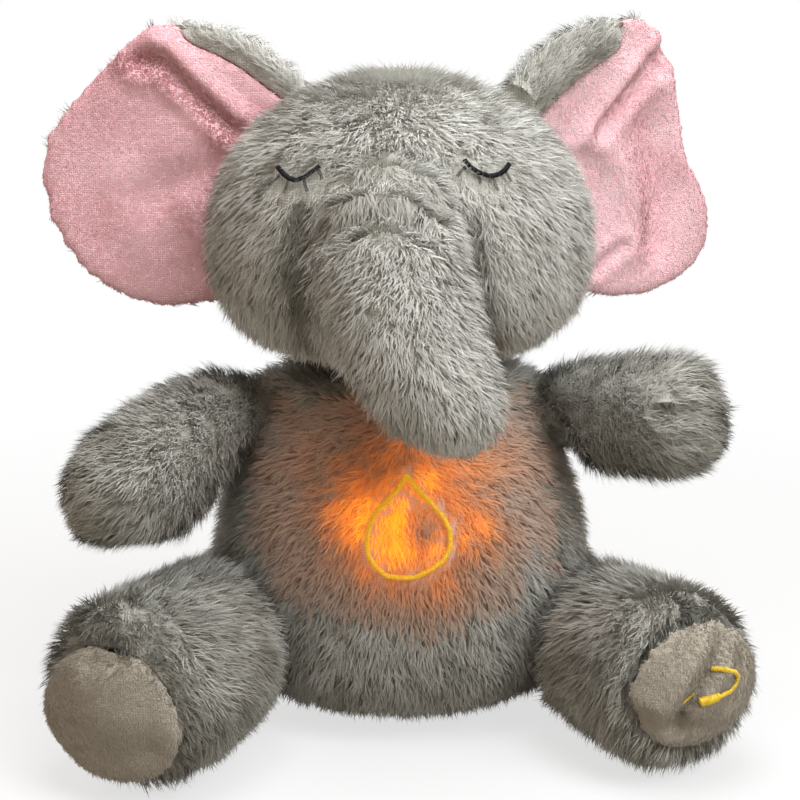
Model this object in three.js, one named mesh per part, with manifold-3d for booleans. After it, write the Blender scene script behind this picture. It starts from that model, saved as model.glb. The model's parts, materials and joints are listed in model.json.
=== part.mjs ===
import * as THREE from 'three';
import { mergeVertices } from 'three/addons/utils/BufferGeometryUtils.js';
import Module from 'manifold-3d';

const wasm = await Module();
wasm.setup();

// A seated plush elephant with a night light and a speaker in its belly. Millimetres, +Z up.
// It faces -Y, its own left is +X, and the origin is on the floor under the belly.

const right = { side: -1 };
const left = { side: 1 };
const bothSides = [right, left];

// Clearances and allowances that every piece shares
const gap = 0.3;
const runningGap = 0.4;
const facetSlack = 1.3;
const ballPlay = 0.9;
const ballSides = 18;
const overrun = 3;
const weld = 1e-4;
const swingSpacing = 16;
const coarse = 0.7;
const insideCoarse = 0.45;

// The fur cloth, with its backing and its pressed pile
const furThickness = 6;

// Torso: a pear on a flat seat
const torso = {
  width: 142,
  depth: 119,
  height: 138,
  seatSink: 0.5,
  centreY: -3,
  startCap: 32,
  startPower: 2.7,
  endCap: 14,
  endPower: 2.2,
  sides: 22,
  rings: 11,
  ringShares: [
    [0, 0.88, 0.88], [0.12, 0.94, 0.94], [0.26, 0.985, 0.985], [0.4, 1, 1],
    [0.55, 0.96, 0.97], [0.7, 0.86, 0.87], [0.84, 0.72, 0.74], [1, 0.6, 0.62],
  ],
};

// Head: a wide ball, fuller in the cheeks than on the crown
const head = {
  width: 140,
  depth: 120,
  height: 105,
  baseZ: 128,
  centreY: -12,
  startCap: 46,
  startPower: 3,
  endCap: 60,
  endPower: 2.1,
  neckRadius: 30,
  sides: 24,
  rings: 11,
  ringShares: [[0, 0.98, 0.97], [0.4, 1, 1], [1, 0.97, 0.96]],
  nod: { height: 22, range: [-8, 10] },
};

// Trunk: a ball set in the face, and a sausage that hangs from it to the toy's left
const trunk = {
  width: 56,
  length: 80,
  ballX: -3,
  ballForward: 44,
  ballHeight: 52,
  startCap: 8,
  startPower: 2,
  endCap: 20,
  endPower: 2.4,
  sides: 16,
  rings: 9,
  spineShares: [[0, 0, 0], [0.03, -0.2, -0.22], [0.11, -0.33, -0.5], [0.23, -0.41, -0.86]],
  ringShares: [[0, 1, 1], [0.45, 1.02, 1], [0.75, 0.93, 0.9], [1, 0.84, 0.82]],
  swing: [-4, 32],
};

// Arms: the right one rests low, the left one is held up and is blunter
const arm = {
  ballRadius: 17,
  shoulderOut: 49,
  shoulderY: -6,
  shoulderHeight: 109.5,
  startCap: 8,
  startPower: 2,
  sides: 16,
  rings: 8,
};
const armRight = {
  width: 54,
  height: 54,
  length: 88,
  endCap: 27,
  endPower: 2.2,
  square: 2,
  spineShares: [[0, 0, 0], [-0.23, -0.17, -0.05], [-0.44, -0.42, -0.18], [-0.63, -0.66, -0.37]],
  ringShares: [[0, 0.74, 0.76], [0.3, 0.9, 0.88], [0.65, 1, 1], [1, 0.98, 0.98]],
  swing: [-5, 26],
};
const armLeft = {
  width: 47,
  height: 49,
  length: 77,
  endCap: 15,
  endPower: 2.8,
  square: 2.4,
  spineShares: [[0, 0, 0], [0.24, -0.16, 0.02], [0.5, -0.38, 0.06], [0.76, -0.56, 0.11]],
  ringShares: [[0, 0.8, 0.8], [0.3, 0.9, 0.92], [0.65, 1, 1], [1, 1, 0.98]],
  swing: [-30, 8],
};

// Legs: forward and apart, sole to the front, resting on the floor
const leg = {
  ballRadius: 26,
  hipOut: 58,
  hipY: -8,
  startCap: 8,
  startPower: 2,
  endCap: 24,
  endPower: 3.1,
  sides: 16,
  rings: 9,
  swing: [-4, 16],
};
const legRight = {
  width: 75,
  height: 71,
  length: 105,
  padDrop: 6,
  spineShares: [[0, 0, 0], [-0.08, -0.33, 0], [-0.19, -0.64, 0], [-0.35, -0.932, 0]],
  ringShares: [[0, 0.78, 0.8], [0.3, 0.85, 0.88], [0.6, 0.95, 0.97], [0.85, 1, 1], [1, 0.98, 0.99]],
};
const legLeft = {
  width: 67,
  height: 68,
  length: 93,
  padDrop: -4,
  spineShares: [[0, 0, 0], [0.14, -0.31, 0], [0.29, -0.61, 0], [0.43, -0.903, 0]],
  ringShares: [[0, 0.84, 0.82], [0.3, 0.92, 0.9], [0.6, 0.98, 0.97], [0.85, 1, 1], [1, 0.98, 0.99]],
};
const solePad = { radius: 25, thickness: 6.2, sides: 20 };

// Ears: a fur back panel and a velour front panel, the back's top edge folded over to the front
const ear = {
  span: 79,
  height: 106,
  backThickness: 8,
  frontThickness: 3.6,
  frontShare: 0.96,
  dish: 5,
  seamOut: 56,
  seamY: 7,
  seamHeight: 58,
  seamLean: 14,
  swing: [-16, 24],
  outlinePoints: 24,
  edgeShares: [0.5, 0.86, 1],
  foldSides: 8,
  foldRings: 6,
  foldCap: 8,
  foldHeightShare: 0.8,
};
const earRight = {
  yaw: 10,
  foldWidth: 14,
  foldForward: -0.5,
  outlineShares: [
    [-0.22, 0.34], [0.1, 0.55], [0.34, 0.59], [0.58, 0.48], [0.75, 0.36], [0.93, 0.2], [0.98, 0.06],
    [0.94, -0.1], [0.82, -0.26], [0.63, -0.37], [0.4, -0.42], [0.16, -0.4], [0.02, -0.36],
    [-0.2, -0.24], [-0.3, 0.08],
  ],
  foldShares: [[-0.24, 0.3], [-0.04, 0.42], [0.14, 0.5], [0.3, 0.54]],
};
const earLeft = {
  yaw: 36,
  foldWidth: 22,
  foldForward: 0,
  outlineShares: [
    [-0.2, 0.36], [0.12, 0.51], [0.4, 0.61], [0.56, 0.57], [0.66, 0.44], [0.72, 0.28], [0.75, 0.1],
    [0.86, -0.04], [0.91, -0.16], [0.86, -0.28], [0.66, -0.37], [0.36, -0.41], [0.16, -0.37],
    [-0.16, -0.27], [-0.3, 0.04],
  ],
  foldShares: [[-0.24, 0.22], [-0.02, 0.36], [0.18, 0.47], [0.38, 0.54]],
};

// Tail: a short stub low on the back
const tail = {
  width: 13,
  length: 36,
  rootZ: 26,
  rootInset: 9,
  startCap: 3,
  endCap: 6,
  sides: 12,
  rings: 9,
  spineShares: [[0, 0, 0], [0, 0.38, -0.1], [0, 0.68, -0.28], [0, 0.9, -0.52]],
  ringShares: [[0, 1, 1], [0.6, 0.75, 0.75], [0.85, 0.95, 0.95], [1, 0.8, 0.8]],
  swing: [-20, 20],
};

// Stitching: one round bead of satin stitch stands for each line
const stitch = { beadRadius: 1, thinShare: 0.9, sides: 4, lift: 0.5 };
const drop = {
  width: 27,
  height: 34,
  centreX: 3,
  heightShare: 0.6875,
  points: 26,
  taper: 1.3,
  spreadShare: 1.18,
};
const eye = {
  heightShare: 0.681,
  innerShare: 0.82,
  widthShare: 0.121,
  sagShare: 0.27,
  lashLength: 5,
  points: 6,
  lashShares: [0.06, 0.34, 0.62, 0.9],
  lashLeanShares: [0.75, 0.35, -0.1, -0.5],
};
const note = {
  width: 12,
  stemLength: 13,
  headRadius: 2.4,
  headOutShare: 0.6,
  beamDrop: 2,
  offsetX: 10,
  turn: -32,
};

// Light and sound module in the belly, face to the front
const unit = {
  width: 58,
  height: 48,
  frontY: -38,
  baseZ: 47,
  frontDepth: 22,
  rearDepth: 15.7,
  wall: 2,
  post: 5.6,
};
const light = {
  radius: 11.5,
  flange: 1.2,
  flangeThickness: 1,
  doming: 8,
  domeRings: 5,
  travel: 1.2,
  sides: 20,
};
const speaker = {
  radius: 10.5,
  rimShare: 0.85,
  depth: 3.4,
  cone: 2,
  magnetRadius: 6,
  magnetDepth: 3,
  slots: 4,
  slotWidth: 1.6,
  slotShare: 0.7,
};
const board = { width: 48, height: 34, thickness: 1.6, standOff: 2.6 };
const led = { radius: 1.7, height: 1.8, ringRadius: 7.6, count: 4, sides: 8 };
const clickSwitch = { width: 6, depth: 3.4, plungerRadius: 1.6, plungerSeat: 1.4 };
const cell = {
  radius: 5.25,
  length: 44.5,
  nubRadius: 1.9,
  nubLength: 0.8,
  count: 3,
  pitch: 11.6,
  sides: 14,
};
const contact = { endRoom: 1, depth: 8 };
const bay = { endRoom: 2.25, sideRoom: 1.15, depthRoom: 2.1 };
const door = {
  width: 41,
  lap: 2,
  thickness: 2,
  screwRadius: 1.1,
  screwHead: 2,
  screwHeadDepth: 1,
  screwLength: 6,
};
const shellScrew = { radius: 1, headRadius: 1.9, headDepth: 1.4, length: 26, sides: 8 };
const modeSwitch = {
  width: 9,
  height: 4.4,
  depth: 4,
  inset: 10.4,
  knobWidth: 3,
  knobReach: 1.4,
  travel: 2.5,
  heightShare: 0.625,
};

// Cloth pocket that holds the module, open at the back behind the zip
const pocket = { wall: 1.5, sideRoom: 2.5, topRoom: 1, windowRadius: 15, backY: 56 };

// Zip: straight on the cloth, so it follows an arc over the round back
const zip = {
  arcRadius: 109,
  arcCentreZ: 52,
  surfaceY: 55.5,
  lowAngle: -2,
  highAngle: 25,
  tapeWidth: 16,
  tapeThickness: 1.2,
  chainWidth: 4.4,
  chainHeight: 2,
  toothHeight: 0.5,
  teeth: 12,
  arcRings: 10,
};
const slider = { width: 8.4, length: 9, wall: 1.2, lugRadius: 1.9, lugHole: 0.9 };
const pull = { width: 5.4, length: 17, thickness: 1.3, barRadius: 0.55 };

// Foot switch behind the left sole, and its lead to the module
const footSwitch = {
  radius: 15,
  depth: 9,
  buttonRadius: 11,
  buttonDepth: 3,
  travel: 1.2,
  sides: 18,
};
const lead = { diameter: 2.4, sides: 8, exitDrop: 6, legRings: 12, torsoRings: 6, halfwayShare: 0.55 };

const colours = {
  fur: 0x9c9b92,
  velour: 0x8b897f,
  pink: 0xe7a9b4,
  wadding: 0xf1efe8,
  gold: 0xd9b400,
  black: 0x17181a,
  pocketCloth: 0x6f6e68,
  shell: 0xeceae2,
  amberDome: 0xffb25a,
  board: 0x1f6b3a,
  led: 0xffd27a,
  metal: 0xc4c5c7,
  magnet: 0x55585c,
  cone: 0x2b2b2d,
  cell: 0x2f6db3,
  zipTape: 0x77766f,
  lead: 0x3a3a3c,
};

const object = new THREE.Group();

// Working with solids

function vec(x, y, z) {
  return new THREE.Vector3(x, y, z);
}

function signedVolume(points, index) {
  let volume = 0;
  for (let i = 0; i < index.length; i += 3) {
    const [a, b, c] = [points[index[i]], points[index[i + 1]], points[index[i + 2]]];
    volume += a.dot(b.clone().cross(c));
  }
  return volume;
}

function closedGeometry(points, index) {
  const outward = signedVolume(points, index) > 0 ? index : index.slice().reverse();
  const geometry = new THREE.BufferGeometry().setFromPoints(points);
  geometry.setIndex(outward);
  return geometry;
}

// Rings of equally many points, each end closed on one point
function ringedGeometry(rings, firstPole, lastPole) {
  const sides = rings[0].length;
  const points = [firstPole, ...rings.flat(), lastPole];
  const at = (ring, side) => 1 + ring * sides + (side % sides);
  const lastRing = rings.length - 1;
  const index = [];
  for (let side = 0; side < sides; side += 1) {
    index.push(0, at(0, side + 1), at(0, side));
    index.push(points.length - 1, at(lastRing, side), at(lastRing, side + 1));
    for (let ring = 0; ring < lastRing; ring += 1) {
      index.push(at(ring, side), at(ring, side + 1), at(ring + 1, side + 1));
      index.push(at(ring, side), at(ring + 1, side + 1), at(ring + 1, side));
    }
  }
  return closedGeometry(points, index);
}

function solidOf(geometry) {
  const bare = geometry.clone();
  bare.deleteAttribute('normal');
  bare.deleteAttribute('uv');
  const merged = mergeVertices(bare, weld);
  return new wasm.Manifold(new wasm.Mesh({
    numProp: 3,
    vertProperties: new Float32Array(merged.getAttribute('position').array),
    triVerts: new Uint32Array(merged.getIndex().array),
  }));
}

function geometryOf(solid) {
  const mesh = solid.getMesh();
  const geometry = new THREE.BufferGeometry();
  geometry.setAttribute('position', new THREE.BufferAttribute(mesh.vertProperties, 3));
  geometry.setIndex(new THREE.BufferAttribute(mesh.triVerts, 1));
  return geometry;
}

function joined(...geometries) {
  return geometries.map(solidOf).reduce((sum, next) => sum.add(next));
}

function cut(solid, ...tools) {
  return tools.reduce((rest, tool) => rest.subtract(tool), solid);
}

function place(name, shape, colour, roughness = 0.9, metalness = 0) {
  const geometry = shape.isBufferGeometry ? shape : geometryOf(shape);
  geometry.computeVertexNormals();
  const material = new THREE.MeshStandardMaterial({ color: colour, roughness, metalness });
  const mesh = new THREE.Mesh(geometry, material);
  mesh.name = name;
  object.add(mesh);
}

// Plain shapes

function block(low, high) {
  const size = high.clone().sub(low);
  const middle = low.clone().add(high).divideScalar(2);
  return new THREE.BoxGeometry(size.x, size.y, size.z).translate(middle.x, middle.y, middle.z);
}

function rod(from, to, radius, sides, endRadius = radius) {
  const axis = to.clone().sub(from);
  const geometry = new THREE.CylinderGeometry(endRadius, radius, axis.length(), sides);
  geometry.translate(0, axis.length() / 2, 0);
  geometry.applyQuaternion(new THREE.Quaternion().setFromUnitVectors(vec(0, 1, 0), axis.normalize()));
  return geometry.translate(from.x, from.y, from.z);
}

function ball(centre, radius, sides) {
  return new THREE.SphereGeometry(radius, sides, sides / 2).translate(centre.x, centre.y, centre.z);
}

// A round body turned about a line: [distance along it, radius] pairs
function turnedBody(origin, direction, profile, sides) {
  const points = profile.map(([along, radius]) => new THREE.Vector2(radius, along));
  const geometry = new THREE.LatheGeometry(points, sides);
  geometry.applyQuaternion(new THREE.Quaternion().setFromUnitVectors(vec(0, 1, 0), direction));
  return closedGeometry(...weldedPoints(geometry.translate(origin.x, origin.y, origin.z)));
}

function weldedPoints(geometry) {
  geometry.deleteAttribute('normal');
  geometry.deleteAttribute('uv');
  const merged = mergeVertices(geometry, weld);
  const position = merged.getAttribute('position');
  const points = [...Array(position.count).keys()].map((i) => vec().fromBufferAttribute(position, i));
  const corners = Array.from(merged.getIndex().array);
  const index = [];
  for (let i = 0; i < corners.length; i += 3) {
    const face = corners.slice(i, i + 3);
    if (new Set(face).size === 3) index.push(...face);
  }
  return [points, index];
}

// Stuffed forms

function sizeAt(shares, share, column) {
  const next = Math.max(1, shares.findIndex(([along]) => along >= share));
  const [before, after] = [shares[next - 1], shares[next]];
  const mix = THREE.MathUtils.clamp((share - before[0]) / (after[0] - before[0]), 0, 1);
  return THREE.MathUtils.lerp(before[column], after[column], mix);
}

function capShare(distance, cap, power) {
  if (distance >= cap) return 1;
  return (1 - Math.max(0, 1 - distance / cap) ** power) ** (1 / power);
}

// A body that swells along a smooth spine. A positive inset gives the space inside its cloth, a
// negative one the room round it, and an open start runs straight out through its root.
function stuffedForm(form, { inset = 0, openStart = 0, fineness = 1 } = {}) {
  const curve = new THREE.CatmullRomCurve3(form.spine, false, 'centripetal');
  const length = curve.getLength();
  const [start, end] = [openStart ? -openStart : inset, length - inset];
  const sides = 2 * Math.round((form.sides * fineness) / 2);
  const ringCount = Math.round(form.rings * Math.sqrt(fineness));
  const round = 2 / (form.square ?? 2);
  const centreAt = (distance) => {
    const u = THREE.MathUtils.clamp(distance / length, 0, 1);
    return curve.getPointAt(u).addScaledVector(curve.getTangentAt(u), distance - u * length);
  };
  const ringAt = (distance) => {
    const u = THREE.MathUtils.clamp(distance / length, 0, 1);
    const tangent = curve.getTangentAt(u);
    const across = tangent.clone().cross(form.up).normalize();
    const upward = across.clone().cross(tangent);
    const startRound = openStart ? 1 : capShare(distance - start, form.startCap - inset, form.startPower);
    const capRound = Math.min(startRound, capShare(end - distance, form.endCap - inset, form.endPower));
    const halfWidth = (form.width / 2 * sizeAt(form.ringShares, u, 1) - inset) * capRound;
    const halfHeight = (form.height / 2 * sizeAt(form.ringShares, u, 2) - inset) * capRound;
    return [...Array(sides).keys()].map((side) => {
      const angle = (side / sides) * 2 * Math.PI;
      const [c, s] = [Math.cos(angle), Math.sin(angle)];
      return centreAt(distance)
        .addScaledVector(across, halfWidth * Math.sign(c) * Math.abs(c) ** round)
        .addScaledVector(upward, halfHeight * Math.sign(s) * Math.abs(s) ** round);
    });
  };
  const distances = [...Array(ringCount - 1).keys()].map((ring) => {
    const turn = (Math.PI * (ring + 1)) / ringCount;
    return start + (end - start) * (1 - Math.cos(turn)) / 2;
  });
  if (openStart) distances.unshift(start);
  return ringedGeometry(distances.map(ringAt), centreAt(start), centreAt(end));
}

function spineFrom(root, length, shares) {
  return shares.map(([x, y, z]) => root.clone().add(vec(x, y, z).multiplyScalar(length)));
}

// Joints, for the room that moving forms need

function turnedAbout(geometry, { origin, axis }, degrees) {
  const angle = THREE.MathUtils.degToRad(degrees);
  return geometry.clone()
    .translate(-origin.x, -origin.y, -origin.z)
    .applyMatrix4(new THREE.Matrix4().makeRotationAxis(axis, angle))
    .translate(origin.x, origin.y, origin.z);
}

function anglesOf({ range: [low, high] }) {
  const stops = Math.ceil((high - low) / swingSpacing);
  return [...Array(stops + 1).keys()].map((i) => low + ((high - low) * i) / stops);
}

// All the places that a bulk takes, turned by each joint in turn; a sign of -1 gives the bulk as the
// joint's own moving piece sees it
function swept(bulk, ...turns) {
  const places = turns.reduce(
    (bulks, { joint, sign }) => bulks.flatMap((one) => (
      anglesOf(joint).map((angle) => turnedAbout(one, joint, sign * angle)))),
    [bulk],
  );
  return joined(...places);
}

const seen = (joint) => ({ joint, sign: -1 });
const moved = (joint) => ({ joint, sign: 1 });

// The bodies' forms and joints

torso.spine = [0, 0.5, 1].map((share) => (
  vec(0, torso.centreY, -torso.seatSink + share * (torso.height + torso.seatSink))));
Object.assign(torso, { height: torso.depth, up: vec(0, -1, 0) });

const headHeight = head.height;
head.spine = [0, 0.5, 1].map((share) => vec(0, head.centreY, head.baseZ + share * head.height));
Object.assign(head, { height: head.depth, up: vec(0, -1, 0) });
const nodJoint = {
  origin: vec(0, 0, head.baseZ + head.nod.height),
  axis: vec(-1, 0, 0),
  range: head.nod.range,
};

const trunkBall = vec(trunk.ballX, head.centreY - trunk.ballForward, head.baseZ + trunk.ballHeight);
const trunkRadius = trunk.width / 2;
trunk.spine = spineFrom(trunkBall, trunk.length, trunk.spineShares);
Object.assign(trunk, { height: trunk.width, up: vec(0, -1, 0.3) });
const trunkJoint = { origin: trunkBall, axis: vec(-1, 0, 0), range: trunk.swing };

function armForm(own, { side }) {
  const shoulder = vec(side * arm.shoulderOut, arm.shoulderY, arm.shoulderHeight);
  return {
    ...arm,
    ...own,
    root: shoulder,
    spine: spineFrom(shoulder, own.length, own.spineShares),
    up: vec(0, 0, 1),
    joint: { origin: shoulder, axis: vec(-1, 0, 0), range: own.swing },
  };
}

function legForm(own, { side }) {
  const hip = vec(side * leg.hipOut, leg.hipY, own.height / 2 - torso.seatSink);
  const spine = spineFrom(hip, own.length, own.spineShares);
  const [beforeSole, sole] = spine.slice(-2);
  return {
    ...leg,
    ...own,
    root: hip,
    spine,
    up: vec(0, 0, 1),
    sole: sole.clone().add(vec(0, 0, -own.padDrop)),
    soleDirection: sole.clone().sub(beforeSole).normalize(),
    joint: { origin: hip, axis: vec(0, 0, side), range: leg.swing },
  };
}

Object.assign(right, { name: 'right', arm: armForm(armRight, right), leg: legForm(legRight, right) });
Object.assign(left, { name: 'left', arm: armForm(armLeft, left), leg: legForm(legLeft, left) });

const room = -(runningGap + facetSlack);
const torsoBulk = stuffedForm(torso, { inset: -2 * runningGap });
const headBulk = stuffedForm(head, { inset: room, fineness: coarse });
const headSeat = stuffedForm(head, { inset: -runningGap });

// Torso, cut by the head, the trunk's swing and the limbs' balls

const floorCut = solidOf(block(
  vec(-2 * torso.width, -2 * torso.width, -torso.width),
  vec(2 * torso.width, 2 * torso.width, 0),
));

function limbBall(limb, grow = 0) {
  return solidOf(ball(limb.root, limb.ballRadius + grow, ballSides));
}

const limbs = bothSides.flatMap((one) => [one.arm, one.leg]);
const torsoShape = cut(
  solidOf(stuffedForm(torso)),
  swept(headSeat, moved(nodJoint)),
  ...limbs.map((limb) => limbBall(limb, ballPlay)),
  floorCut,
);
const torsoInside = stuffedForm(torso, { inset: furThickness, fineness: insideCoarse });
const stuffingInside = stuffedForm(torso, { inset: furThickness + gap, fineness: insideCoarse });

// The module's places, from its own sizes

const unitTop = unit.baseZ + unit.height;
const unitHalf = unit.width / 2;
const frontShellBack = unit.frontY + unit.frontDepth;
const rearShellFront = frontShellBack + gap;
const rearShellBack = rearShellFront + unit.rearDepth;
const pocketInner = {
  low: vec(-unitHalf - pocket.sideRoom, unit.frontY - gap, unit.baseZ - gap),
  high: vec(unitHalf + pocket.sideRoom, pocket.backY, unitTop + pocket.topRoom),
};
const pocketOuter = {
  low: pocketInner.low.clone().subScalar(pocket.wall),
  high: vec(pocketInner.high.x + pocket.wall, pocket.backY, pocketInner.high.z + pocket.wall),
};
const dropCentreZ = unit.baseZ + unit.height * drop.heightShare;
const lightCentre = vec(drop.centreX, unit.frontY, dropCentreZ);

function grown(low, high, by) {
  return block(low.clone().subScalar(by), high.clone().addScalar(by));
}

// Zip: an arc about a line across the body, behind which the pocket opens

const zipAxis = vec(0, zip.surfaceY - zip.arcRadius, zip.arcCentreZ);

function onZip(degrees, radius, x = 0) {
  const angle = THREE.MathUtils.degToRad(degrees);
  return vec(x, zipAxis.y + radius * Math.cos(angle), zipAxis.z + radius * Math.sin(angle));
}

// A band bent about the zip's axis, between two radii, two angles and two sides
function zipBand(lowAngle, highAngle, innerRadius, outerRadius, halfWidth, steps) {
  const rings = [...Array(steps + 1).keys()].map((step) => {
    const angle = lowAngle + ((highAngle - lowAngle) * step) / steps;
    const outer = typeof outerRadius === 'function' ? outerRadius(step) : outerRadius;
    return [
      onZip(angle, innerRadius, -halfWidth), onZip(angle, innerRadius, halfWidth),
      onZip(angle, outer, halfWidth), onZip(angle, outer, -halfWidth),
    ];
  });
  const middle = (ring) => ring
    .reduce((sum, point) => sum.add(point), vec(0, 0, 0))
    .divideScalar(ring.length);
  return ringedGeometry(rings, middle(rings[0]), middle(rings[steps]));
}

const tapeOuter = zip.arcRadius - zip.chainHeight / 2;
const tapeInner = tapeOuter - zip.tapeThickness;
const chainInner = tapeOuter + gap;
const chainOuter = chainInner + zip.chainHeight;
const zipSlot = zipBand(
  zip.lowAngle - THREE.MathUtils.radToDeg(gap / zip.arcRadius),
  zip.highAngle + THREE.MathUtils.radToDeg(gap / zip.arcRadius),
  zip.arcRadius - 2 * furThickness,
  zip.arcRadius + 2 * furThickness,
  zip.tapeWidth / 2 + gap,
  zip.arcRings,
);

// Lead route: from the foot switch through the leg to the top of the hip ball, then to the module.
// The hip turns about the upright line that the two stretches meet on.
const hipTop = left.leg.root.clone().add(vec(0, 0, leg.ballRadius));
const padFloor = left.leg.sole.clone().addScaledVector(left.leg.soleDirection, -solePad.thickness);
const switchFront = padFloor.clone().addScaledVector(left.leg.soleDirection, -gap);
const switchBack = switchFront.clone().addScaledVector(left.leg.soleDirection, -footSwitch.depth);
const leadExit = vec(unitHalf, unit.frontY + unit.frontDepth / 2, unit.baseZ + lead.exitDrop);
const [, thighMiddle, kneeMiddle] = left.leg.spine;
const legRoute = [
  switchBack.clone().addScaledVector(left.leg.soleDirection, -gap),
  kneeMiddle.clone(),
  thighMiddle.clone(),
  left.leg.root.clone().add(vec(0, -lead.diameter, leg.ballRadius / 4)),
  hipTop.clone().add(vec(0, 0, -leg.ballRadius / 3)),
  hipTop.clone().add(vec(0, 0, -gap)),
];
const torsoRoute = [
  hipTop.clone().add(vec(0, 0, runningGap)),
  hipTop.clone().add(vec(0, 0, lead.diameter)),
  hipTop.clone().lerp(leadExit, lead.halfwayShare).add(vec(0, 0, lead.diameter)),
  leadExit.clone().add(vec(lead.diameter * 2, 0, 0)),
  leadExit.clone().add(vec(gap, 0, 0)),
];

// No stretch of either lead runs along this direction
const leadReference = vec(1, 3, 1);

function leadAlong(route, radius, steps) {
  const curve = new THREE.CatmullRomCurve3(route, false, 'centripetal');
  const rings = [...Array(steps + 1).keys()].map((step) => {
    const tangent = curve.getTangentAt(step / steps);
    const across = tangent.clone().cross(leadReference).normalize();
    const upward = across.clone().cross(tangent);
    return [...Array(lead.sides).keys()].map((side) => {
      const angle = (side / lead.sides) * 2 * Math.PI;
      return curve.getPointAt(step / steps)
        .addScaledVector(across, radius * Math.cos(angle))
        .addScaledVector(upward, radius * Math.sin(angle));
    });
  });
  return ringedGeometry(rings, curve.getPointAt(0), curve.getPointAt(1));
}

const leadRadius = lead.diameter / 2;

// The room that a lead takes in what it runs through, open past both its ends
function leadChannel(route, steps) {
  const [first, last] = [route[0], route[route.length - 1]];
  const before = first.clone().sub(route[1]).setLength(overrun).add(first);
  const after = last.clone().sub(route[route.length - 2]).setLength(overrun).add(last);
  return joined(
    leadAlong(route, leadRadius + gap, steps),
    rod(before, first, leadRadius + gap, lead.sides),
    rod(last, after, leadRadius + gap, lead.sides),
  );
}

const torsoChannel = leadChannel(torsoRoute, lead.torsoRings);
const legChannel = leadChannel(legRoute, lead.legRings);

place('torso_cover', cut(torsoShape, solidOf(torsoInside), solidOf(zipSlot)), colours.fur);
place('torso_stuffing', cut(
  torsoShape.intersect(solidOf(stuffingInside)),
  solidOf(grown(pocketOuter.low, pocketOuter.high, gap)),
  solidOf(rod(
    vec(lightCentre.x, -torso.width, lightCentre.z),
    lightCentre.clone().add(vec(0, overrun, 0)),
    light.radius + gap,
    light.sides,
  )),
  torsoChannel,
  solidOf(grown(vec(-zip.tapeWidth / 2, 0, onZip(zip.lowAngle, zip.arcRadius).z),
    vec(zip.tapeWidth / 2, torso.depth, onZip(zip.highAngle, zip.arcRadius).z), gap)),
), colours.wadding);

place('module_pocket', cut(
  solidOf(block(pocketOuter.low, pocketOuter.high))
    .intersect(solidOf(stuffedForm(torso, { inset: furThickness + 2 * gap, fineness: insideCoarse }))),
  solidOf(block(pocketInner.low, pocketInner.high.clone().add(vec(0, overrun, 0)))),
  solidOf(rod(
    vec(lightCentre.x, pocketOuter.low.y - overrun, lightCentre.z),
    vec(lightCentre.x, pocketInner.low.y + overrun, lightCentre.z),
    pocket.windowRadius,
    light.sides,
  )),
  torsoChannel,
), colours.pocketCloth);

// Head and trunk

const headShape = cut(
  solidOf(stuffedForm(head)),
  limbBall({ root: trunkBall, ballRadius: trunkRadius }, ballPlay),
);
const neckOpening = rod(
  vec(0, 0, head.baseZ - overrun),
  vec(0, 0, head.baseZ + 2 * furThickness),
  head.neckRadius,
  ballSides,
);
const neckPlug = rod(
  vec(0, 0, head.baseZ - overrun),
  vec(0, 0, head.baseZ + 2 * furThickness),
  head.neckRadius - gap,
  ballSides,
);
const headInside = joined(stuffedForm(head, { inset: furThickness, fineness: insideCoarse }), neckOpening);
const headFilling = joined(
  stuffedForm(head, { inset: furThickness + gap, fineness: insideCoarse }),
  neckPlug,
);
place('head_cover', cut(headShape, headInside), colours.fur);
place('head_stuffing', headShape.intersect(headFilling), colours.wadding);

function limbCuts(limb, neighbours) {
  const parent = cut(swept(limb.parentBulk, seen(limb.joint)), limbBall(limb));
  return [parent, ...neighbours];
}

function placeLimb(name, limb, neighbours, ownCuts = []) {
  const shape = cut(
    solidOf(stuffedForm(limb)).add(limbBall(limb)),
    ...limbCuts(limb, neighbours),
    floorCut,
  );
  const openStart = limb.ballRadius + overrun;
  const inside = stuffedForm(limb, { inset: furThickness, openStart, fineness: insideCoarse });
  const filling = stuffedForm(limb, { inset: furThickness + gap, openStart, fineness: insideCoarse });
  place(`${name}_cover`, cut(shape, solidOf(inside), ...ownCuts), colours.fur);
  place(`${name}_stuffing`, cut(shape.intersect(solidOf(filling)), ...ownCuts), colours.wadding);
}

const trunkLimb = {
  ...trunk, root: trunkBall, ballRadius: trunkRadius, joint: trunkJoint, parentBulk: headBulk,
};
placeLimb('trunk', trunkLimb, [swept(torsoBulk, seen(nodJoint), seen(trunkJoint))]);

// Legs, with the sole pads and the foot switch

function padBody(limb, grow, depth, outward) {
  const floor = limb.sole.clone().addScaledVector(limb.soleDirection, -depth);
  const tip = limb.sole.clone().addScaledVector(limb.soleDirection, outward);
  return rod(floor, tip, solePad.radius + grow, solePad.sides);
}

const switchHole = rod(
  switchFront.clone().addScaledVector(left.leg.soleDirection, overrun),
  switchBack.clone().addScaledVector(left.leg.soleDirection, -gap),
  footSwitch.radius + gap,
  footSwitch.sides,
);

for (const one of bothSides) {
  const limb = { ...one.leg, parentBulk: torsoBulk };
  const sole = solidOf(padBody(limb, gap, solePad.thickness + gap, overrun));
  const hasSwitch = one === left;
  const switchCuts = hasSwitch ? [solidOf(switchHole), legChannel] : [];
  placeLimb(`leg_${one.name}`, limb, [], [sole, ...switchCuts]);
  const pad = padBody(limb, 0, solePad.thickness, overrun);
  place(`sole_pad_${one.name}`, solidOf(stuffedForm(limb)).intersect(solidOf(pad)), colours.velour);
}

// Arms, cut by the torso, the nodding head and the legs below them

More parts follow.
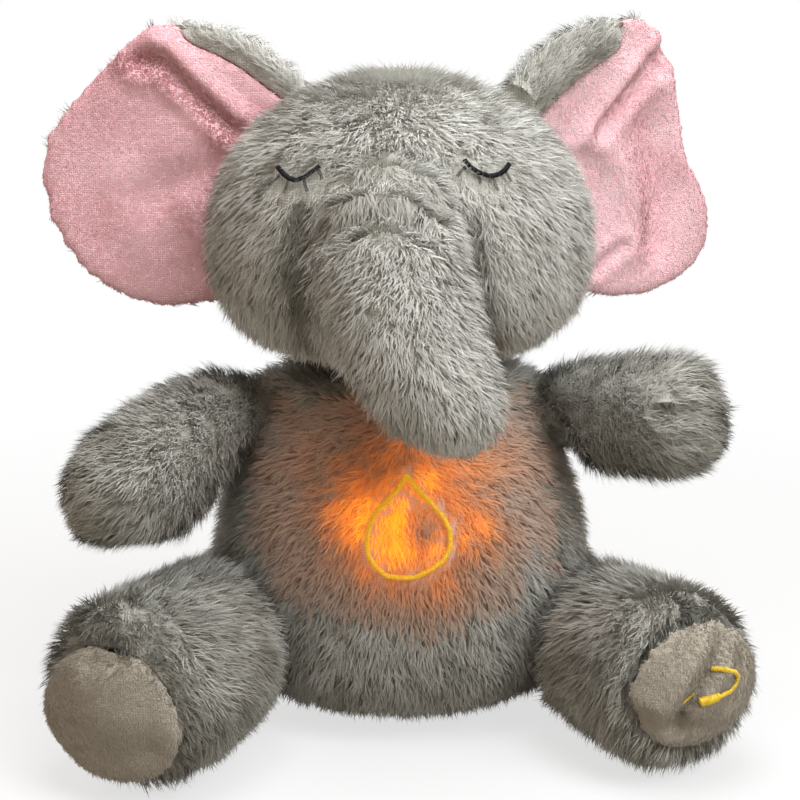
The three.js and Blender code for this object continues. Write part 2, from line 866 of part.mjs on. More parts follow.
for (const one of bothSides) {
  const limb = { ...one.arm, parentBulk: torsoBulk };
  const legBulk = stuffedForm(one.leg, { inset: room, fineness: coarse });
  placeLimb(`arm_${one.name}`, limb, [
    swept(headBulk, moved(nodJoint), seen(limb.joint)),
    swept(legBulk, moved(one.leg.joint), seen(limb.joint)),
  ]);
}

// Ears

function earFrame({ side }, own) {
  const yaw = THREE.MathUtils.degToRad(own.yaw);
  return {
    origin: vec(side * ear.seamOut, ear.seamY, head.baseZ + ear.seamHeight),
    outward: vec(side * Math.cos(yaw), Math.sin(yaw), 0),
    forward: vec(side * Math.sin(yaw), -Math.cos(yaw), 0),
  };
}

function onEar(frame, [across, up], forward) {
  return frame.origin.clone()
    .addScaledVector(frame.outward, across * ear.span)
    .addScaledVector(frame.forward, forward)
    .add(vec(0, 0, up * ear.height));
}

// A panel between two sheets, dished a little towards its middle and drawn together at its edge
function earPanel(frame, shares, backOffset, frontOffset, shrink) {
  const outline = new THREE.CatmullRomCurve3(
    shares.map(([across, up]) => vec(across, up, 0)), true, 'centripetal',
  ).getPoints(ear.outlinePoints).slice(0, -1);
  const middle = outline.reduce((sum, point) => sum.add(point), vec(0, 0, 0)).divideScalar(outline.length);
  const thinning = (edge) => Math.sqrt(1 - edge ** 4);
  const middleForward = (backOffset + frontOffset) / 2;
  const ring = (edge, offset) => outline.map((point) => {
    const [across, up] = [point.x, point.y].map((value, axis) => (
      THREE.MathUtils.lerp(middle.getComponent(axis), value, edge * shrink)));
    const dish = -ear.dish * (1 - edge ** 2);
    return onEar(frame, [across, up], dish + middleForward + (offset - middleForward) * thinning(edge));
  });
  const centre = (offset) => onEar(frame, [middle.x, middle.y], offset - ear.dish);
  const edges = ear.edgeShares;
  const rings = [
    ...edges.map((edge) => ring(edge, frontOffset)),
    ...edges.slice(0, -1).reverse().map((edge) => ring(edge, backOffset)),
  ];
  return ringedGeometry(rings, centre(frontOffset), centre(backOffset));
}

for (const [one, own] of [[right, earRight], [left, earLeft]]) {
  const frame = earFrame(one, own);
  const seamTilt = THREE.MathUtils.degToRad(ear.seamLean);
  const seamJoint = {
    origin: frame.origin,
    axis: vec(-one.side * Math.sin(seamTilt), 0, Math.cos(seamTilt)).multiplyScalar(-one.side),
    range: ear.swing,
  };
  const headRoom = swept(headBulk, seen(seamJoint));
  const fold = {
    spine: own.foldShares.map((share) => onEar(frame, share, own.foldForward)),
    width: own.foldWidth,
    height: own.foldWidth * ear.foldHeightShare,
    up: frame.forward,
    startCap: ear.foldCap,
    startPower: 2,
    endCap: ear.foldCap,
    endPower: 2,
    sides: ear.foldSides,
    rings: ear.foldRings,
    ringShares: [[0, 1, 1], [0.5, 1, 1], [1, 0.7, 0.7]],
  };
  const back = earPanel(frame, own.outlineShares, -ear.backThickness, 0, 1);
  const front = earPanel(frame, own.outlineShares, gap, ear.frontThickness, ear.frontShare);
  const frontShape = cut(solidOf(front), solidOf(stuffedForm(fold, { inset: -gap })), solidOf(back));
  place(`ear_back_${one.name}`, cut(joined(back, stuffedForm(fold)), headRoom), colours.fur);
  place(`ear_front_${one.name}`, cut(frontShape, headRoom), colours.pink);
}

// Tail

const tailRoot = vec(0, torso.depth / 2 - tail.rootInset, tail.rootZ);
const tailForm = {
  ...tail,
  height: tail.width,
  startPower: 2,
  endPower: 2,
  spine: spineFrom(tailRoot, tail.length, tail.spineShares),
  up: vec(0, 0, 1),
};
const tailJoint = { origin: tailRoot, axis: vec(0, 0, 1), range: tail.swing };
place('tail', cut(
  solidOf(stuffedForm(tailForm)),
  swept(stuffedForm(torso, { inset: -runningGap }), seen(tailJoint)),
), colours.fur);

// Stitching laid on a form

const rays = new THREE.Raycaster();

function onFace(geometry, x, z, lift) {
  const target = new THREE.Mesh(geometry, new THREE.MeshBasicMaterial({ side: THREE.DoubleSide }));
  rays.set(vec(x, -2 * torso.width, z), vec(0, 1, 0));
  const hit = rays.intersectObject(target)[0];
  return hit.point.clone().add(vec(0, -lift, 0));
}

function bead(points, closed, radius = stitch.beadRadius) {
  const curve = new THREE.CatmullRomCurve3(points, closed, 'centripetal');
  const steps = points.length - (closed ? 0 : 1);
  const ring = (share, size) => {
    const tangent = curve.getTangent(share);
    const across = tangent.clone().cross(vec(0, 1, 0)).normalize();
    const upward = across.clone().cross(tangent);
    return [...Array(stitch.sides).keys()].map((side) => {
      const angle = (side / stitch.sides) * 2 * Math.PI;
      return curve.getPoint(share)
        .addScaledVector(across, size * Math.cos(angle))
        .addScaledVector(upward, size * Math.sin(angle));
    });
  };
  if (closed) {
    const rings = [...Array(steps).keys()].map((step) => ring(step / steps, radius));
    return closedTube(rings);
  }
  const rings = [...Array(steps + 1).keys()].map((step) => ring(step / steps, radius));
  return ringedGeometry(rings, points[0], points[points.length - 1]);
}

function closedTube(rings) {
  const sides = rings[0].length;
  const at = (ring, side) => (ring % rings.length) * sides + (side % sides);
  const index = [];
  for (let ring = 0; ring < rings.length; ring += 1) {
    for (let side = 0; side < sides; side += 1) {
      index.push(at(ring, side), at(ring, side + 1), at(ring + 1, side + 1));
      index.push(at(ring, side), at(ring + 1, side + 1), at(ring + 1, side));
    }
  }
  return closedGeometry(rings.flat(), index);
}

const beadLift = stitch.beadRadius + stitch.lift;
const torsoFace = stuffedForm(torso);
const headFace = stuffedForm(head);

// A drop: a round bottom that narrows to a point at the top
const dropPoints = [...Array(drop.points).keys()].map((i) => {
  const angle = (i / drop.points) * 2 * Math.PI;
  const fall = Math.cos(angle);
  const spread = Math.sin(angle) * Math.sin(angle / 2) ** drop.taper;
  return onFace(
    torsoFace,
    drop.centreX + (drop.width / 2) * spread * drop.spreadShare,
    dropCentreZ + (drop.height / 2) * fall,
    beadLift,
  );
});
place('belly_drop_stitching', cut(solidOf(bead(dropPoints, true)), solidOf(torsoFace)), colours.gold, 0.5);

const eyeHeight = head.baseZ + headHeight * eye.heightShare;
const eyeWidth = head.width * eye.widthShare;
for (const one of bothSides) {
  const arcAt = (share) => onFace(
    headFace,
    trunk.ballX + one.side * (trunkRadius * eye.innerShare + eyeWidth * share),
    eyeHeight + eyeWidth * eye.sagShare * (4 * (share - 0.5) ** 2 - 0.5),
    beadLift,
  );
  const arc = [...Array(eye.points + 1).keys()].map((step) => arcAt(step / eye.points));
  const lashes = eye.lashShares.map((share, i) => {
    const root = arcAt(share);
    const lean = one.side * eye.lashLength * eye.lashLeanShares[eye.lashShares.length - 1 - i];
    const tip = onFace(headFace, root.x + lean, root.z - eye.lashLength, beadLift);
    return bead([root, root.clone().lerp(tip, 0.5), tip], false, stitch.beadRadius * stitch.thinShare);
  });
  place(`eye_stitching_${one.name}`, cut(
    joined(bead(arc, false), ...lashes),
    solidOf(headFace),
    limbBall({ root: trunkBall, ballRadius: trunkRadius }, ballPlay),
  ), colours.black, 0.6);
}

// Note mark on the left sole: two stems on a beam, each with a head, turned as the foot is
const soleFace = stuffedForm(left.leg);
const soleAcross = vec(0, 0, 1).cross(left.leg.soleDirection).normalize().negate();

function onSole(x, z) {
  const target = new THREE.Mesh(soleFace, new THREE.MeshBasicMaterial({ side: THREE.DoubleSide }));
  const turn = THREE.MathUtils.degToRad(note.turn);
  const [across, up] = [x * Math.cos(turn) - z * Math.sin(turn), x * Math.sin(turn) + z * Math.cos(turn)];
  const start = left.leg.sole.clone()
    .addScaledVector(left.leg.soleDirection, leg.endCap)
    .addScaledVector(soleAcross, -(note.offsetX + across))
    .add(vec(0, 0, up));
  rays.set(start, left.leg.soleDirection.clone().negate());
  const hit = rays.intersectObject(target)[0];
  return hit.point.clone().addScaledVector(left.leg.soleDirection, beadLift);
}

const half = note.width / 2;
const top = note.stemLength / 2;
const beam = bead([
  onSole(-half, top),
  onSole(0, top + note.beamDrop / 2),
  onSole(half, top + note.beamDrop),
]);
const stems = [-1, 1].map((side) => bead([
  onSole(side * half, top + (side + 1) * note.beamDrop / 2),
  onSole(side * half, 0),
  onSole(side * half, -top),
]));
const noteHeads = [-1, 1].map((side) => ball(
  onSole(side * half - note.headRadius * note.headOutShare, -top), note.headRadius, stitch.sides * 2));
place('note_stitching', cut(joined(beam, ...stems, ...noteHeads), solidOf(soleFace)), colours.gold, 0.5);

// Foot switch: a cup that holds a button behind the sole pad

const soleDirection = left.leg.soleDirection;
const intoLeg = soleDirection.clone().negate();
const cupProfile = [
  [0, footSwitch.buttonRadius + gap], [0, footSwitch.radius], [footSwitch.depth, footSwitch.radius],
  [footSwitch.depth, 0], [footSwitch.buttonDepth + footSwitch.travel + gap, 0],
  [footSwitch.buttonDepth + footSwitch.travel + gap, footSwitch.buttonRadius + gap],
  [0, footSwitch.buttonRadius + gap],
];
place(
  'foot_switch_housing',
  turnedBody(switchFront, intoLeg, cupProfile, footSwitch.sides),
  colours.shell,
  0.5,
);
place('foot_switch_button', turnedBody(switchFront, intoLeg, [
  [0, 0], [0, footSwitch.buttonRadius], [footSwitch.buttonDepth, footSwitch.buttonRadius],
  [footSwitch.buttonDepth, 0],
], footSwitch.sides), colours.lead, 0.5);
place('foot_lead_leg', leadAlong(legRoute, leadRadius, lead.legRings), colours.lead, 0.6);
place('foot_lead_torso', leadAlong(torsoRoute, leadRadius, lead.torsoRings), colours.lead, 0.6);

// Light and sound module

const shellLow = vec(-unitHalf, unit.frontY, unit.baseZ);
const shellHigh = vec(unitHalf, frontShellBack, unitTop);
const cavityLow = shellLow.clone().addScalar(unit.wall);
const cavityHigh = vec(shellHigh.x - unit.wall, shellHigh.y + overrun, shellHigh.z - unit.wall);
const screwInset = unit.post / 2;
const screwPlaces = [-1, 1].flatMap((x) => [-1, 1].map((z) => vec(
  x * (unitHalf - screwInset),
  0,
  unit.baseZ + unit.height / 2 + z * (unit.height / 2 - screwInset),
)));
const speakerZ = unit.baseZ + unit.wall + gap + speaker.radius;
const speakerX = -unitHalf + unit.wall + unit.post + speaker.radius;
const slotPitch = (2 * speaker.radius) / (speaker.slots + 1);
const slotHalf = speaker.radius * speaker.slotShare;
const grilleSlots = [...Array(speaker.slots).keys()].map((i) => {
  const z = speakerZ - speaker.radius + (i + 1) * slotPitch;
  return solidOf(block(
    vec(speakerX - slotHalf, unit.frontY - overrun, z - speaker.slotWidth / 2),
    vec(speakerX + slotHalf, unit.frontY + unit.wall + gap, z + speaker.slotWidth / 2),
  ));
});
const posts = screwPlaces.map((at) => solidOf(block(
  vec(at.x - screwInset, unit.frontY, at.z - screwInset),
  vec(at.x + screwInset, frontShellBack, at.z + screwInset),
)));
const screwHoles = (from, to, radius) => screwPlaces.map((at) => solidOf(rod(
  vec(at.x, from, at.z), vec(at.x, to, at.z), radius, shellScrew.sides)));
const screwTip = rearShellBack - shellScrew.length;
const modeCentreZ = unit.baseZ + unit.height * modeSwitch.heightShare;
const modeLow = vec(unitHalf - unit.wall, frontShellBack - modeSwitch.inset, modeCentreZ);
const knobSlot = block(
  vec(unitHalf - unit.wall - gap, modeLow.y - modeSwitch.knobWidth / 2 - gap,
    modeCentreZ - modeSwitch.travel - modeSwitch.knobWidth / 2 - gap),
  vec(unitHalf + overrun, modeLow.y + modeSwitch.knobWidth / 2 + gap,
    modeCentreZ + modeSwitch.travel + modeSwitch.knobWidth / 2 + gap),
);
const leadHole = rod(leadExit.clone().add(vec(-unit.post, 0, 0)), leadExit.clone().add(vec(overrun, 0, 0)),
  leadRadius + gap, lead.sides);
const shellBox = cut(solidOf(block(shellLow, shellHigh)), solidOf(block(cavityLow, cavityHigh)));
place('module_front_shell', cut(
  posts.reduce((sum, post) => sum.add(post), shellBox),
  ...grilleSlots,
  ...screwHoles(screwTip - gap, frontShellBack + overrun, shellScrew.radius + gap),
  solidOf(rod(
    lightCentre.clone().add(vec(0, -overrun, 0)),
    lightCentre.clone().add(vec(0, overrun, 0)),
    light.radius + gap,
    light.sides,
  )),
  solidOf(knobSlot),
  solidOf(leadHole),
), colours.shell, 0.45);

const bayCentreZ = unit.baseZ + unit.height / 2;
const bayWidth = cell.length + 2 * bay.endRoom;
const bayHeight = (cell.count - 1) * cell.pitch + 2 * cell.radius + 2 * bay.sideRoom;
const bayDepth = 2 * cell.radius + bay.depthRoom;
place('module_rear_shell', cut(
  solidOf(block(vec(-unitHalf, rearShellFront, unit.baseZ), vec(unitHalf, rearShellBack, unitTop))),
  solidOf(block(
    vec(-bayWidth / 2, rearShellBack - bayDepth, bayCentreZ - bayHeight / 2),
    vec(bayWidth / 2, rearShellBack + overrun, bayCentreZ + bayHeight / 2),
  )),
  ...screwHoles(rearShellFront - overrun, rearShellBack + overrun, shellScrew.radius + gap),
  ...screwHoles(
    rearShellBack - shellScrew.headDepth - gap,
    rearShellBack + overrun,
    shellScrew.headRadius + gap,
  ),
  solidOf(rod(
    vec(0, rearShellBack - door.screwLength, bayCentreZ + bayHeight / 2 + door.screwHead),
    vec(0, rearShellBack + overrun, bayCentreZ + bayHeight / 2 + door.screwHead),
    door.screwRadius + gap,
    shellScrew.sides,
  )),
), colours.shell, 0.45);

screwPlaces.forEach((at, i) => place(
  `module_screw_${i + 1}`,
  turnedBody(vec(at.x, rearShellBack, at.z), vec(0, -1, 0), [
    [0, 0], [0, shellScrew.headRadius], [shellScrew.headDepth, shellScrew.headRadius],
    [shellScrew.headDepth, shellScrew.radius], [shellScrew.length, shellScrew.radius],
    [shellScrew.length, 0],
  ], shellScrew.sides),
  colours.metal, 0.35, 1,
));

// Light button: a dome on a flange, with a stem to the switch on the board
const flangeFront = unit.frontY + unit.wall + gap;
const domeRoot = flangeFront + light.flangeThickness;
const boardFront = frontShellBack - board.standOff - board.thickness;
const switchFace = boardFront - gap - clickSwitch.depth;
const domeArc = (radius, height, from) => [...Array(light.domeRings).keys()].map((step) => {
  const angle = (Math.PI / 2) * (1 - step / light.domeRings);
  return [from - height * Math.cos(angle), radius * Math.sin(angle)];
});
const domeProfile = [
  [0, 0], [0, light.radius + light.flange], [-light.flangeThickness, light.radius + light.flange],
  ...domeArc(light.radius, unit.wall + light.doming, -light.flangeThickness),
  [-light.flangeThickness - unit.wall - light.doming, 0],
].map(([along, radius]) => [-along, radius]);
const domeBase = vec(lightCentre.x, domeRoot, lightCentre.z);
place('light_button', turnedBody(domeBase, vec(0, -1, 0), domeProfile, light.sides), colours.amberDome, 0.3);
const plungerFront = domeRoot + gap;
place('switch_plunger', rod(
  vec(lightCentre.x, plungerFront, lightCentre.z),
  vec(lightCentre.x, switchFace + clickSwitch.plungerSeat - gap, lightCentre.z),
  clickSwitch.plungerRadius,
  led.sides,
), colours.black, 0.5);

// Board with its switch and LEDs
place('main_board', block(
  vec(-board.width / 2, boardFront, bayCentreZ - board.height / 2),
  vec(board.width / 2, boardFront + board.thickness, bayCentreZ + board.height / 2),
), colours.board, 0.5);
place('switch_body', cut(
  solidOf(block(
    vec(lightCentre.x - clickSwitch.width / 2, switchFace, lightCentre.z - clickSwitch.width / 2),
    vec(lightCentre.x + clickSwitch.width / 2, boardFront - gap, lightCentre.z + clickSwitch.width / 2),
  )),
  solidOf(rod(
    vec(lightCentre.x, switchFace - overrun, lightCentre.z),
    vec(lightCentre.x, switchFace + clickSwitch.plungerSeat + light.travel, lightCentre.z),
    clickSwitch.plungerRadius + gap,
    led.sides,
  )),
), colours.black, 0.5);
for (let i = 0; i < led.count; i += 1) {
  const angle = (2 * Math.PI * (i + 0.5)) / led.count;
  const at = vec(
    lightCentre.x + led.ringRadius * Math.cos(angle),
    boardFront - gap,
    lightCentre.z + led.ringRadius * Math.sin(angle),
  );
  place(`led_${i + 1}`, turnedBody(at, vec(0, -1, 0), [
    [0, 0], [0, led.radius], [led.height / 2, led.radius], [led.height, led.radius / 2], [led.height, 0],
  ], led.sides), colours.led, 0.25);
}

// Speaker, behind the grille
const speakerFront = vec(speakerX, unit.frontY + unit.wall + gap, speakerZ);
place('speaker_frame', turnedBody(speakerFront, vec(0, 1, 0), [
  [speaker.cone, 0], [0, speaker.radius * speaker.rimShare], [0, speaker.radius],
  [speaker.depth, speaker.radius], [speaker.depth, 0],
], light.sides), colours.cone, 0.6);
place('speaker_magnet', rod(
  speakerFront.clone().add(vec(0, speaker.depth + gap, 0)),
  speakerFront.clone().add(vec(0, speaker.depth + gap + speaker.magnetDepth, 0)),
  speaker.magnetRadius,
  light.sides,
), colours.magnet, 0.4, 1);

// Mode switch on the module's left side
place('mode_switch_body', block(
  vec(unitHalf - unit.wall - gap - modeSwitch.height, modeLow.y - modeSwitch.depth / 2,
    modeCentreZ - modeSwitch.width / 2),
  vec(unitHalf - unit.wall - gap, modeLow.y + modeSwitch.depth / 2, modeCentreZ + modeSwitch.width / 2),
), colours.metal, 0.4, 1);
place('mode_switch_knob', block(
  vec(unitHalf - unit.wall, modeLow.y - modeSwitch.knobWidth / 2,
    modeCentreZ - modeSwitch.knobWidth / 2),
  vec(unitHalf + modeSwitch.knobReach, modeLow.y + modeSwitch.knobWidth / 2,
    modeCentreZ + modeSwitch.knobWidth / 2),
), colours.black, 0.5);

// Cells, one above the other, and the contact plates at their ends
const cellY = rearShellBack - bayDepth + gap + cell.radius;
for (let i = 0; i < cell.count; i += 1) {
  const facing = i % 2 ? -1 : 1;
  const at = vec(-facing * cell.length / 2, cellY, bayCentreZ + (i - (cell.count - 1) / 2) * cell.pitch);
  place(`battery_${i + 1}`, turnedBody(at, vec(facing, 0, 0), [
    [0, 0], [0, cell.radius], [cell.length - cell.nubLength, cell.radius],
    [cell.length - cell.nubLength, cell.nubRadius], [cell.length, cell.nubRadius], [cell.length, 0],
  ], cell.sides), colours.cell, 0.4);
}
for (const one of bothSides) {
  const inner = cell.length / 2 + gap;
  const outer = bayWidth / 2 - gap;
  const [lowX, highX] = one.side > 0 ? [inner, outer] : [-outer, -inner];
  place(`contact_plate_${one.name}`, block(
    vec(lowX, cellY - contact.depth / 2, bayCentreZ - bayHeight / 2 + contact.endRoom),
    vec(highX, cellY + contact.depth / 2, bayCentreZ + bayHeight / 2 - contact.endRoom),
  ), colours.metal, 0.3, 1);
}

// Battery door, hinged along its lower edge, with its screw
const doorFront = rearShellBack + gap;
const doorBase = bayCentreZ - bayHeight / 2 - door.lap;
const doorScrewZ = bayCentreZ + bayHeight / 2 + door.screwHead;
const doorHigh = Math.max(bayCentreZ + bayHeight / 2 + door.lap, doorScrewZ + door.screwHead);
place('battery_door', cut(
  solidOf(block(
    vec(-door.width / 2, doorFront, doorBase),
    vec(door.width / 2, doorFront + door.thickness, doorHigh),
  )),
  solidOf(rod(
    vec(0, doorFront - overrun, doorScrewZ),
    vec(0, doorFront + overrun, doorScrewZ),
    door.screwRadius + gap,
    shellScrew.sides,
  )),
), colours.shell, 0.45);
const doorScrewBack = doorFront + door.thickness + gap + door.screwHeadDepth;
place('battery_door_screw', turnedBody(vec(0, doorScrewBack, doorScrewZ), vec(0, -1, 0), [
  [0, 0], [0, door.screwHead], [door.screwHeadDepth, door.screwHead], [door.screwHeadDepth, door.screwRadius],
  [door.screwLength, door.screwRadius], [door.screwLength, 0],
], shellScrew.sides), colours.metal, 0.35, 1);

// Zip

place('zip_tape', zipBand(zip.lowAngle, zip.highAngle, tapeInner, tapeOuter, zip.tapeWidth / 2, zip.arcRings),
  colours.zipTape, 0.9);
place('zip_chain', zipBand(
  zip.lowAngle, zip.highAngle, chainInner, (step) => chainOuter - (step % 2) * zip.toothHeight,
  zip.chainWidth / 2, zip.teeth * 2,
), colours.black, 0.5);

const sliderOuter = chainOuter + gap + slider.wall;
const arcAngle = (length) => THREE.MathUtils.radToDeg(length / zip.arcRadius);
const sliderLow = zip.highAngle - arcAngle(slider.length);
const lugAngle = (zip.highAngle + sliderLow) / 2;
const pullRadius = sliderOuter + slider.lugRadius + gap;
const acrossZip = (angle, radius, halfWidth, thickness) => rod(
  onZip(angle, radius, -halfWidth), onZip(angle, radius, halfWidth), thickness, shellScrew.sides);
const lugHalf = slider.wall / 2;
const lugStem = zipBand(
  lugAngle - arcAngle(slider.lugRadius / 2), lugAngle + arcAngle(slider.lugRadius / 2),
  sliderOuter - lugHalf, pullRadius - slider.lugHole, lugHalf, 1,
);
place('zip_slider', cut(
  cut(
    solidOf(zipBand(sliderLow, zip.highAngle, chainInner, sliderOuter, slider.width / 2, 2)),
    solidOf(zipBand(sliderLow - arcAngle(overrun), zip.highAngle + arcAngle(overrun),
      chainInner - overrun, chainOuter + gap, zip.chainWidth / 2 + gap, 4)),
  ).add(solidOf(lugStem)).add(solidOf(acrossZip(lugAngle, pullRadius, lugHalf, slider.lugRadius))),
  solidOf(acrossZip(lugAngle, pullRadius, lugHalf + overrun, slider.lugHole)),
), colours.metal, 0.35, 1);
place('zip_pull', cut(
  solidOf(zipBand(
    lugAngle - arcAngle(pull.length), lugAngle + arcAngle(pull.barRadius),
    pullRadius - pull.thickness / 2, pullRadius + pull.thickness / 2, pull.width / 2, 4,
  )),
  solidOf(zipBand(
    lugAngle - arcAngle(slider.lugRadius + gap), lugAngle + arcAngle(slider.lugRadius + overrun),
    pullRadius - overrun, pullRadius + overrun, lugHalf + gap, 1,
  )),
).add(
  solidOf(acrossZip(lugAngle, pullRadius, pull.width / 2 - gap, pull.barRadius)),
), colours.metal, 0.35, 1);

export default object;
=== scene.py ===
import json
import math

import bmesh
import bpy
import numpy as np
from mathutils import Euler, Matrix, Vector, noise
from mathutils.bvhtree import BVHTree

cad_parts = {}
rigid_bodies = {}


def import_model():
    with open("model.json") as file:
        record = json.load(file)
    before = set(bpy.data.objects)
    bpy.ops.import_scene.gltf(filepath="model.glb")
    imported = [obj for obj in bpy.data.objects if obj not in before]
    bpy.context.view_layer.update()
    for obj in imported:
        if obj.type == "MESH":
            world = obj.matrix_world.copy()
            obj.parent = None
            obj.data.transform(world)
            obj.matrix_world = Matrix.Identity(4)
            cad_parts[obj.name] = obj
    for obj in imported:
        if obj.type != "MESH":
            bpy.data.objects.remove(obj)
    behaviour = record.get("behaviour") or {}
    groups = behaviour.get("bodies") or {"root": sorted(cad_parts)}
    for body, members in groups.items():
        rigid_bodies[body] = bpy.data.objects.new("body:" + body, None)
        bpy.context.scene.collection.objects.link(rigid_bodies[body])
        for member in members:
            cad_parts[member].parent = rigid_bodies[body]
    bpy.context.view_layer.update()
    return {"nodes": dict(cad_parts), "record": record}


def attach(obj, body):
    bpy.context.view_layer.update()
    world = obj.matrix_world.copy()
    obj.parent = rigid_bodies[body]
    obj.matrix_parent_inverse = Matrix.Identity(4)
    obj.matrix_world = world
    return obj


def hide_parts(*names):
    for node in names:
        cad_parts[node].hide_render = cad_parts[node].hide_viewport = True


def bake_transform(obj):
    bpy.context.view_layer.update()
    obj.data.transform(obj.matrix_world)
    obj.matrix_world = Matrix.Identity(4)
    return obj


# A seated plush elephant with a night light in its belly. Metres, +Z up, facing -Y.

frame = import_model()
scene = bpy.context.scene
MM = 0.001
CAMERA_PLACE = Vector((0, -0.7336, 0.2679))
CAMERA_TURN = Euler((math.radians(78), 0, 0))
FOCAL_LENGTH = 93.75
FILM_WIDTH = 36.0
FRAME_PIXELS = 800
# Where the lamp stands behind the belly's cloth
LAMP_PLACE = (0.001, -0.062, 0.080)
# A fixed seed, so that the patches of tone and of light come out the same each time
noise.seed_set(100)


# Nodes and colours


def linear(hex_colour):
    channels = [int(hex_colour[i : i + 2], 16) / 255 for i in (1, 3, 5)]
    return (*(c / 12.92 if c <= 0.04045 else ((c + 0.055) / 1.055) ** 2.4 for c in channels), 1.0)


def plug(sockets, name):
    if isinstance(name, int):
        return sockets[name]
    return next(s for s in sockets if s.name == name and s.enabled)


def add(tree, kind, inputs=None, **properties):
    """A new node. An input takes a value, another node's first output, or (node, output's name)."""
    node = tree.nodes.new(kind)
    for name, value in properties.items():
        setattr(node, name, value)
    for name, source in (inputs or {}).items():
        if isinstance(source, bpy.types.Node):
            tree.links.new(next(s for s in source.outputs if s.enabled), plug(node.inputs, name))
        elif isinstance(source, tuple) and isinstance(source[0], bpy.types.Node):
            tree.links.new(plug(source[0].outputs, source[1]), plug(node.inputs, name))
        else:
            plug(node.inputs, name).default_value = source
    return node


def ramp(tree, factor, stops):
    """A colour for each value, from stops of (value, colour)."""
    node = add(tree, "ShaderNodeValToRGB", {"Fac": factor})
    colours = node.color_ramp
    while len(colours.elements) < len(stops):
        colours.elements.new(1.0)
    for element, (place, colour) in zip(colours.elements, stops):
        element.position = place
        element.color = linear(colour)
    return node


def remapped(tree, value, low, high, to_low, to_high, **properties):
    """A value brought from the range low to high into another."""
    ends = {"From Min": low, "From Max": high, "To Min": to_low, "To Max": to_high}
    return add(tree, "ShaderNodeMapRange", {"Value": value, **ends}, **properties)


def cleared(owner):
    """The node tree of a material or a world, with nothing in it."""
    owner.use_nodes = True
    owner.node_tree.nodes.clear()
    return owner.node_tree


def new_material(name):
    material = bpy.data.materials.new(name)
    return material, cleared(material)


def finish_material(tree, **inputs):
    """The shader of a material. Its inputs' names have underscores for spaces."""
    shader = add(tree, "ShaderNodeBsdfPrincipled", {k.replace("_", " "): v for k, v in inputs.items()})
    add(tree, "ShaderNodeOutputMaterial", {"Surface": shader})


def pile_material(name, roots, tips, light=None, **inputs):
    """Pile fibre. U of the fibre's own map is its tone, and V runs from its root to its tip."""
    material, tree = new_material(name)
    own_map = add(tree, "ShaderNodeUVMap", uv_map="OFBake")
    split = add(tree, "ShaderNodeSeparateXYZ", {"Vector": own_map})
    along = remapped(tree, (split, "Y"), 0.0, 0.85, 0.0, 1.0, interpolation_type="SMOOTHSTEP")
    root, tip = (ramp(tree, (split, "X"), stops) for stops in (roots, tips))
    colour = add(tree, "ShaderNodeMix", {0: along, 6: root, 7: tip}, data_type="RGBA")
    if light:
        inputs |= {"Emission_Color": ramp(tree, (split, "X"), light), "Emission_Strength": 1.0}
    finish_material(tree, Base_Color=colour, **inputs)
    return material


def cloth_material(name, dark, light, thread_mm, roughness=0.9, lamp_behind=False):
    """Woven or knitted cloth: two crossed sets of threads, and a slow change of tone."""
    material, tree = new_material(name)
    place = (add(tree, "ShaderNodeTexCoord"), "Object")
    # A wave texture of scale 1 has a band every 2 pi / 20
    wave_scale = 2 * math.pi / 20 / (thread_mm * MM)
    across, up = (
        add(
            tree, "ShaderNodeTexWave",
            {"Vector": place, "Scale": wave_scale, "Distortion": 0.6, "Detail": 1.0},
            wave_type="BANDS", bands_direction=direction,
        )
        for direction in ("X", "Z")
    )
    weave = add(tree, "ShaderNodeMath", {0: (across, "Fac"), 1: (up, "Fac")}, operation="MULTIPLY")
    tone = add(tree, "ShaderNodeTexNoise", {"Vector": place, "Scale": 60.0, "Detail": 3.0})
    both = add(tree, "ShaderNodeMath", {0: weave, 1: (tone, "Fac")}, operation="ADD")
    inputs = {
        "Base_Color": ramp(tree, both, [(0.35, dark), (1.0, light)]), "Roughness": roughness,
        "Normal": add(tree, "ShaderNodeBump", {"Height": weave, "Strength": 0.5, "Distance": 0.3 * MM}),
    }
    if lamp_behind:
        # The lamp shines out through the cloth in front of it, brightest in the middle
        spot = add(tree, "ShaderNodeVectorMath", {0: place, 1: LAMP_PLACE}, operation="DISTANCE")
        shining = remapped(
            tree, (spot, "Value"), 8 * MM, 36 * MM, 0.38, 0.0, interpolation_type="SMOOTHSTEP"
        )
        inputs |= {"Emission_Color": linear("#FF7A10"), "Emission_Strength": shining}
    finish_material(tree, **inputs)
    return material


def grained_material(name, dark, light, roughness, grain_mm=0.4, relief=0.1, **inputs):
    """Moulded plastic, metal, thread or paper: fine grain in its tone, roughness and surface."""
    material, tree = new_material(name)
    place = (add(tree, "ShaderNodeTexCoord"), "Object")
    noise_inputs = {"Vector": place, "Scale": 1.0 / (grain_mm * MM), "Detail": 3.0}
    grain = (add(tree, "ShaderNodeTexNoise", noise_inputs), "Fac")
    finish_material(
        tree,
        Base_Color=ramp(tree, grain, [(0.3, dark), (0.7, light)]),
        Roughness=remapped(tree, grain, 0.0, 1.0, roughness * 0.85, min(1.0, roughness * 1.2)),
        Normal=add(tree, "ShaderNodeBump", {"Height": grain, "Strength": relief, "Distance": 0.2 * MM}),
        **inputs,
    )
    return material


def thread_material(colour_name, dark, light, roughness, **inputs):
    name = f"rayon embroidery thread, {colour_name}"
    return grained_material(name, dark, light, roughness, grain_mm=0.8, relief=0.2, **inputs)


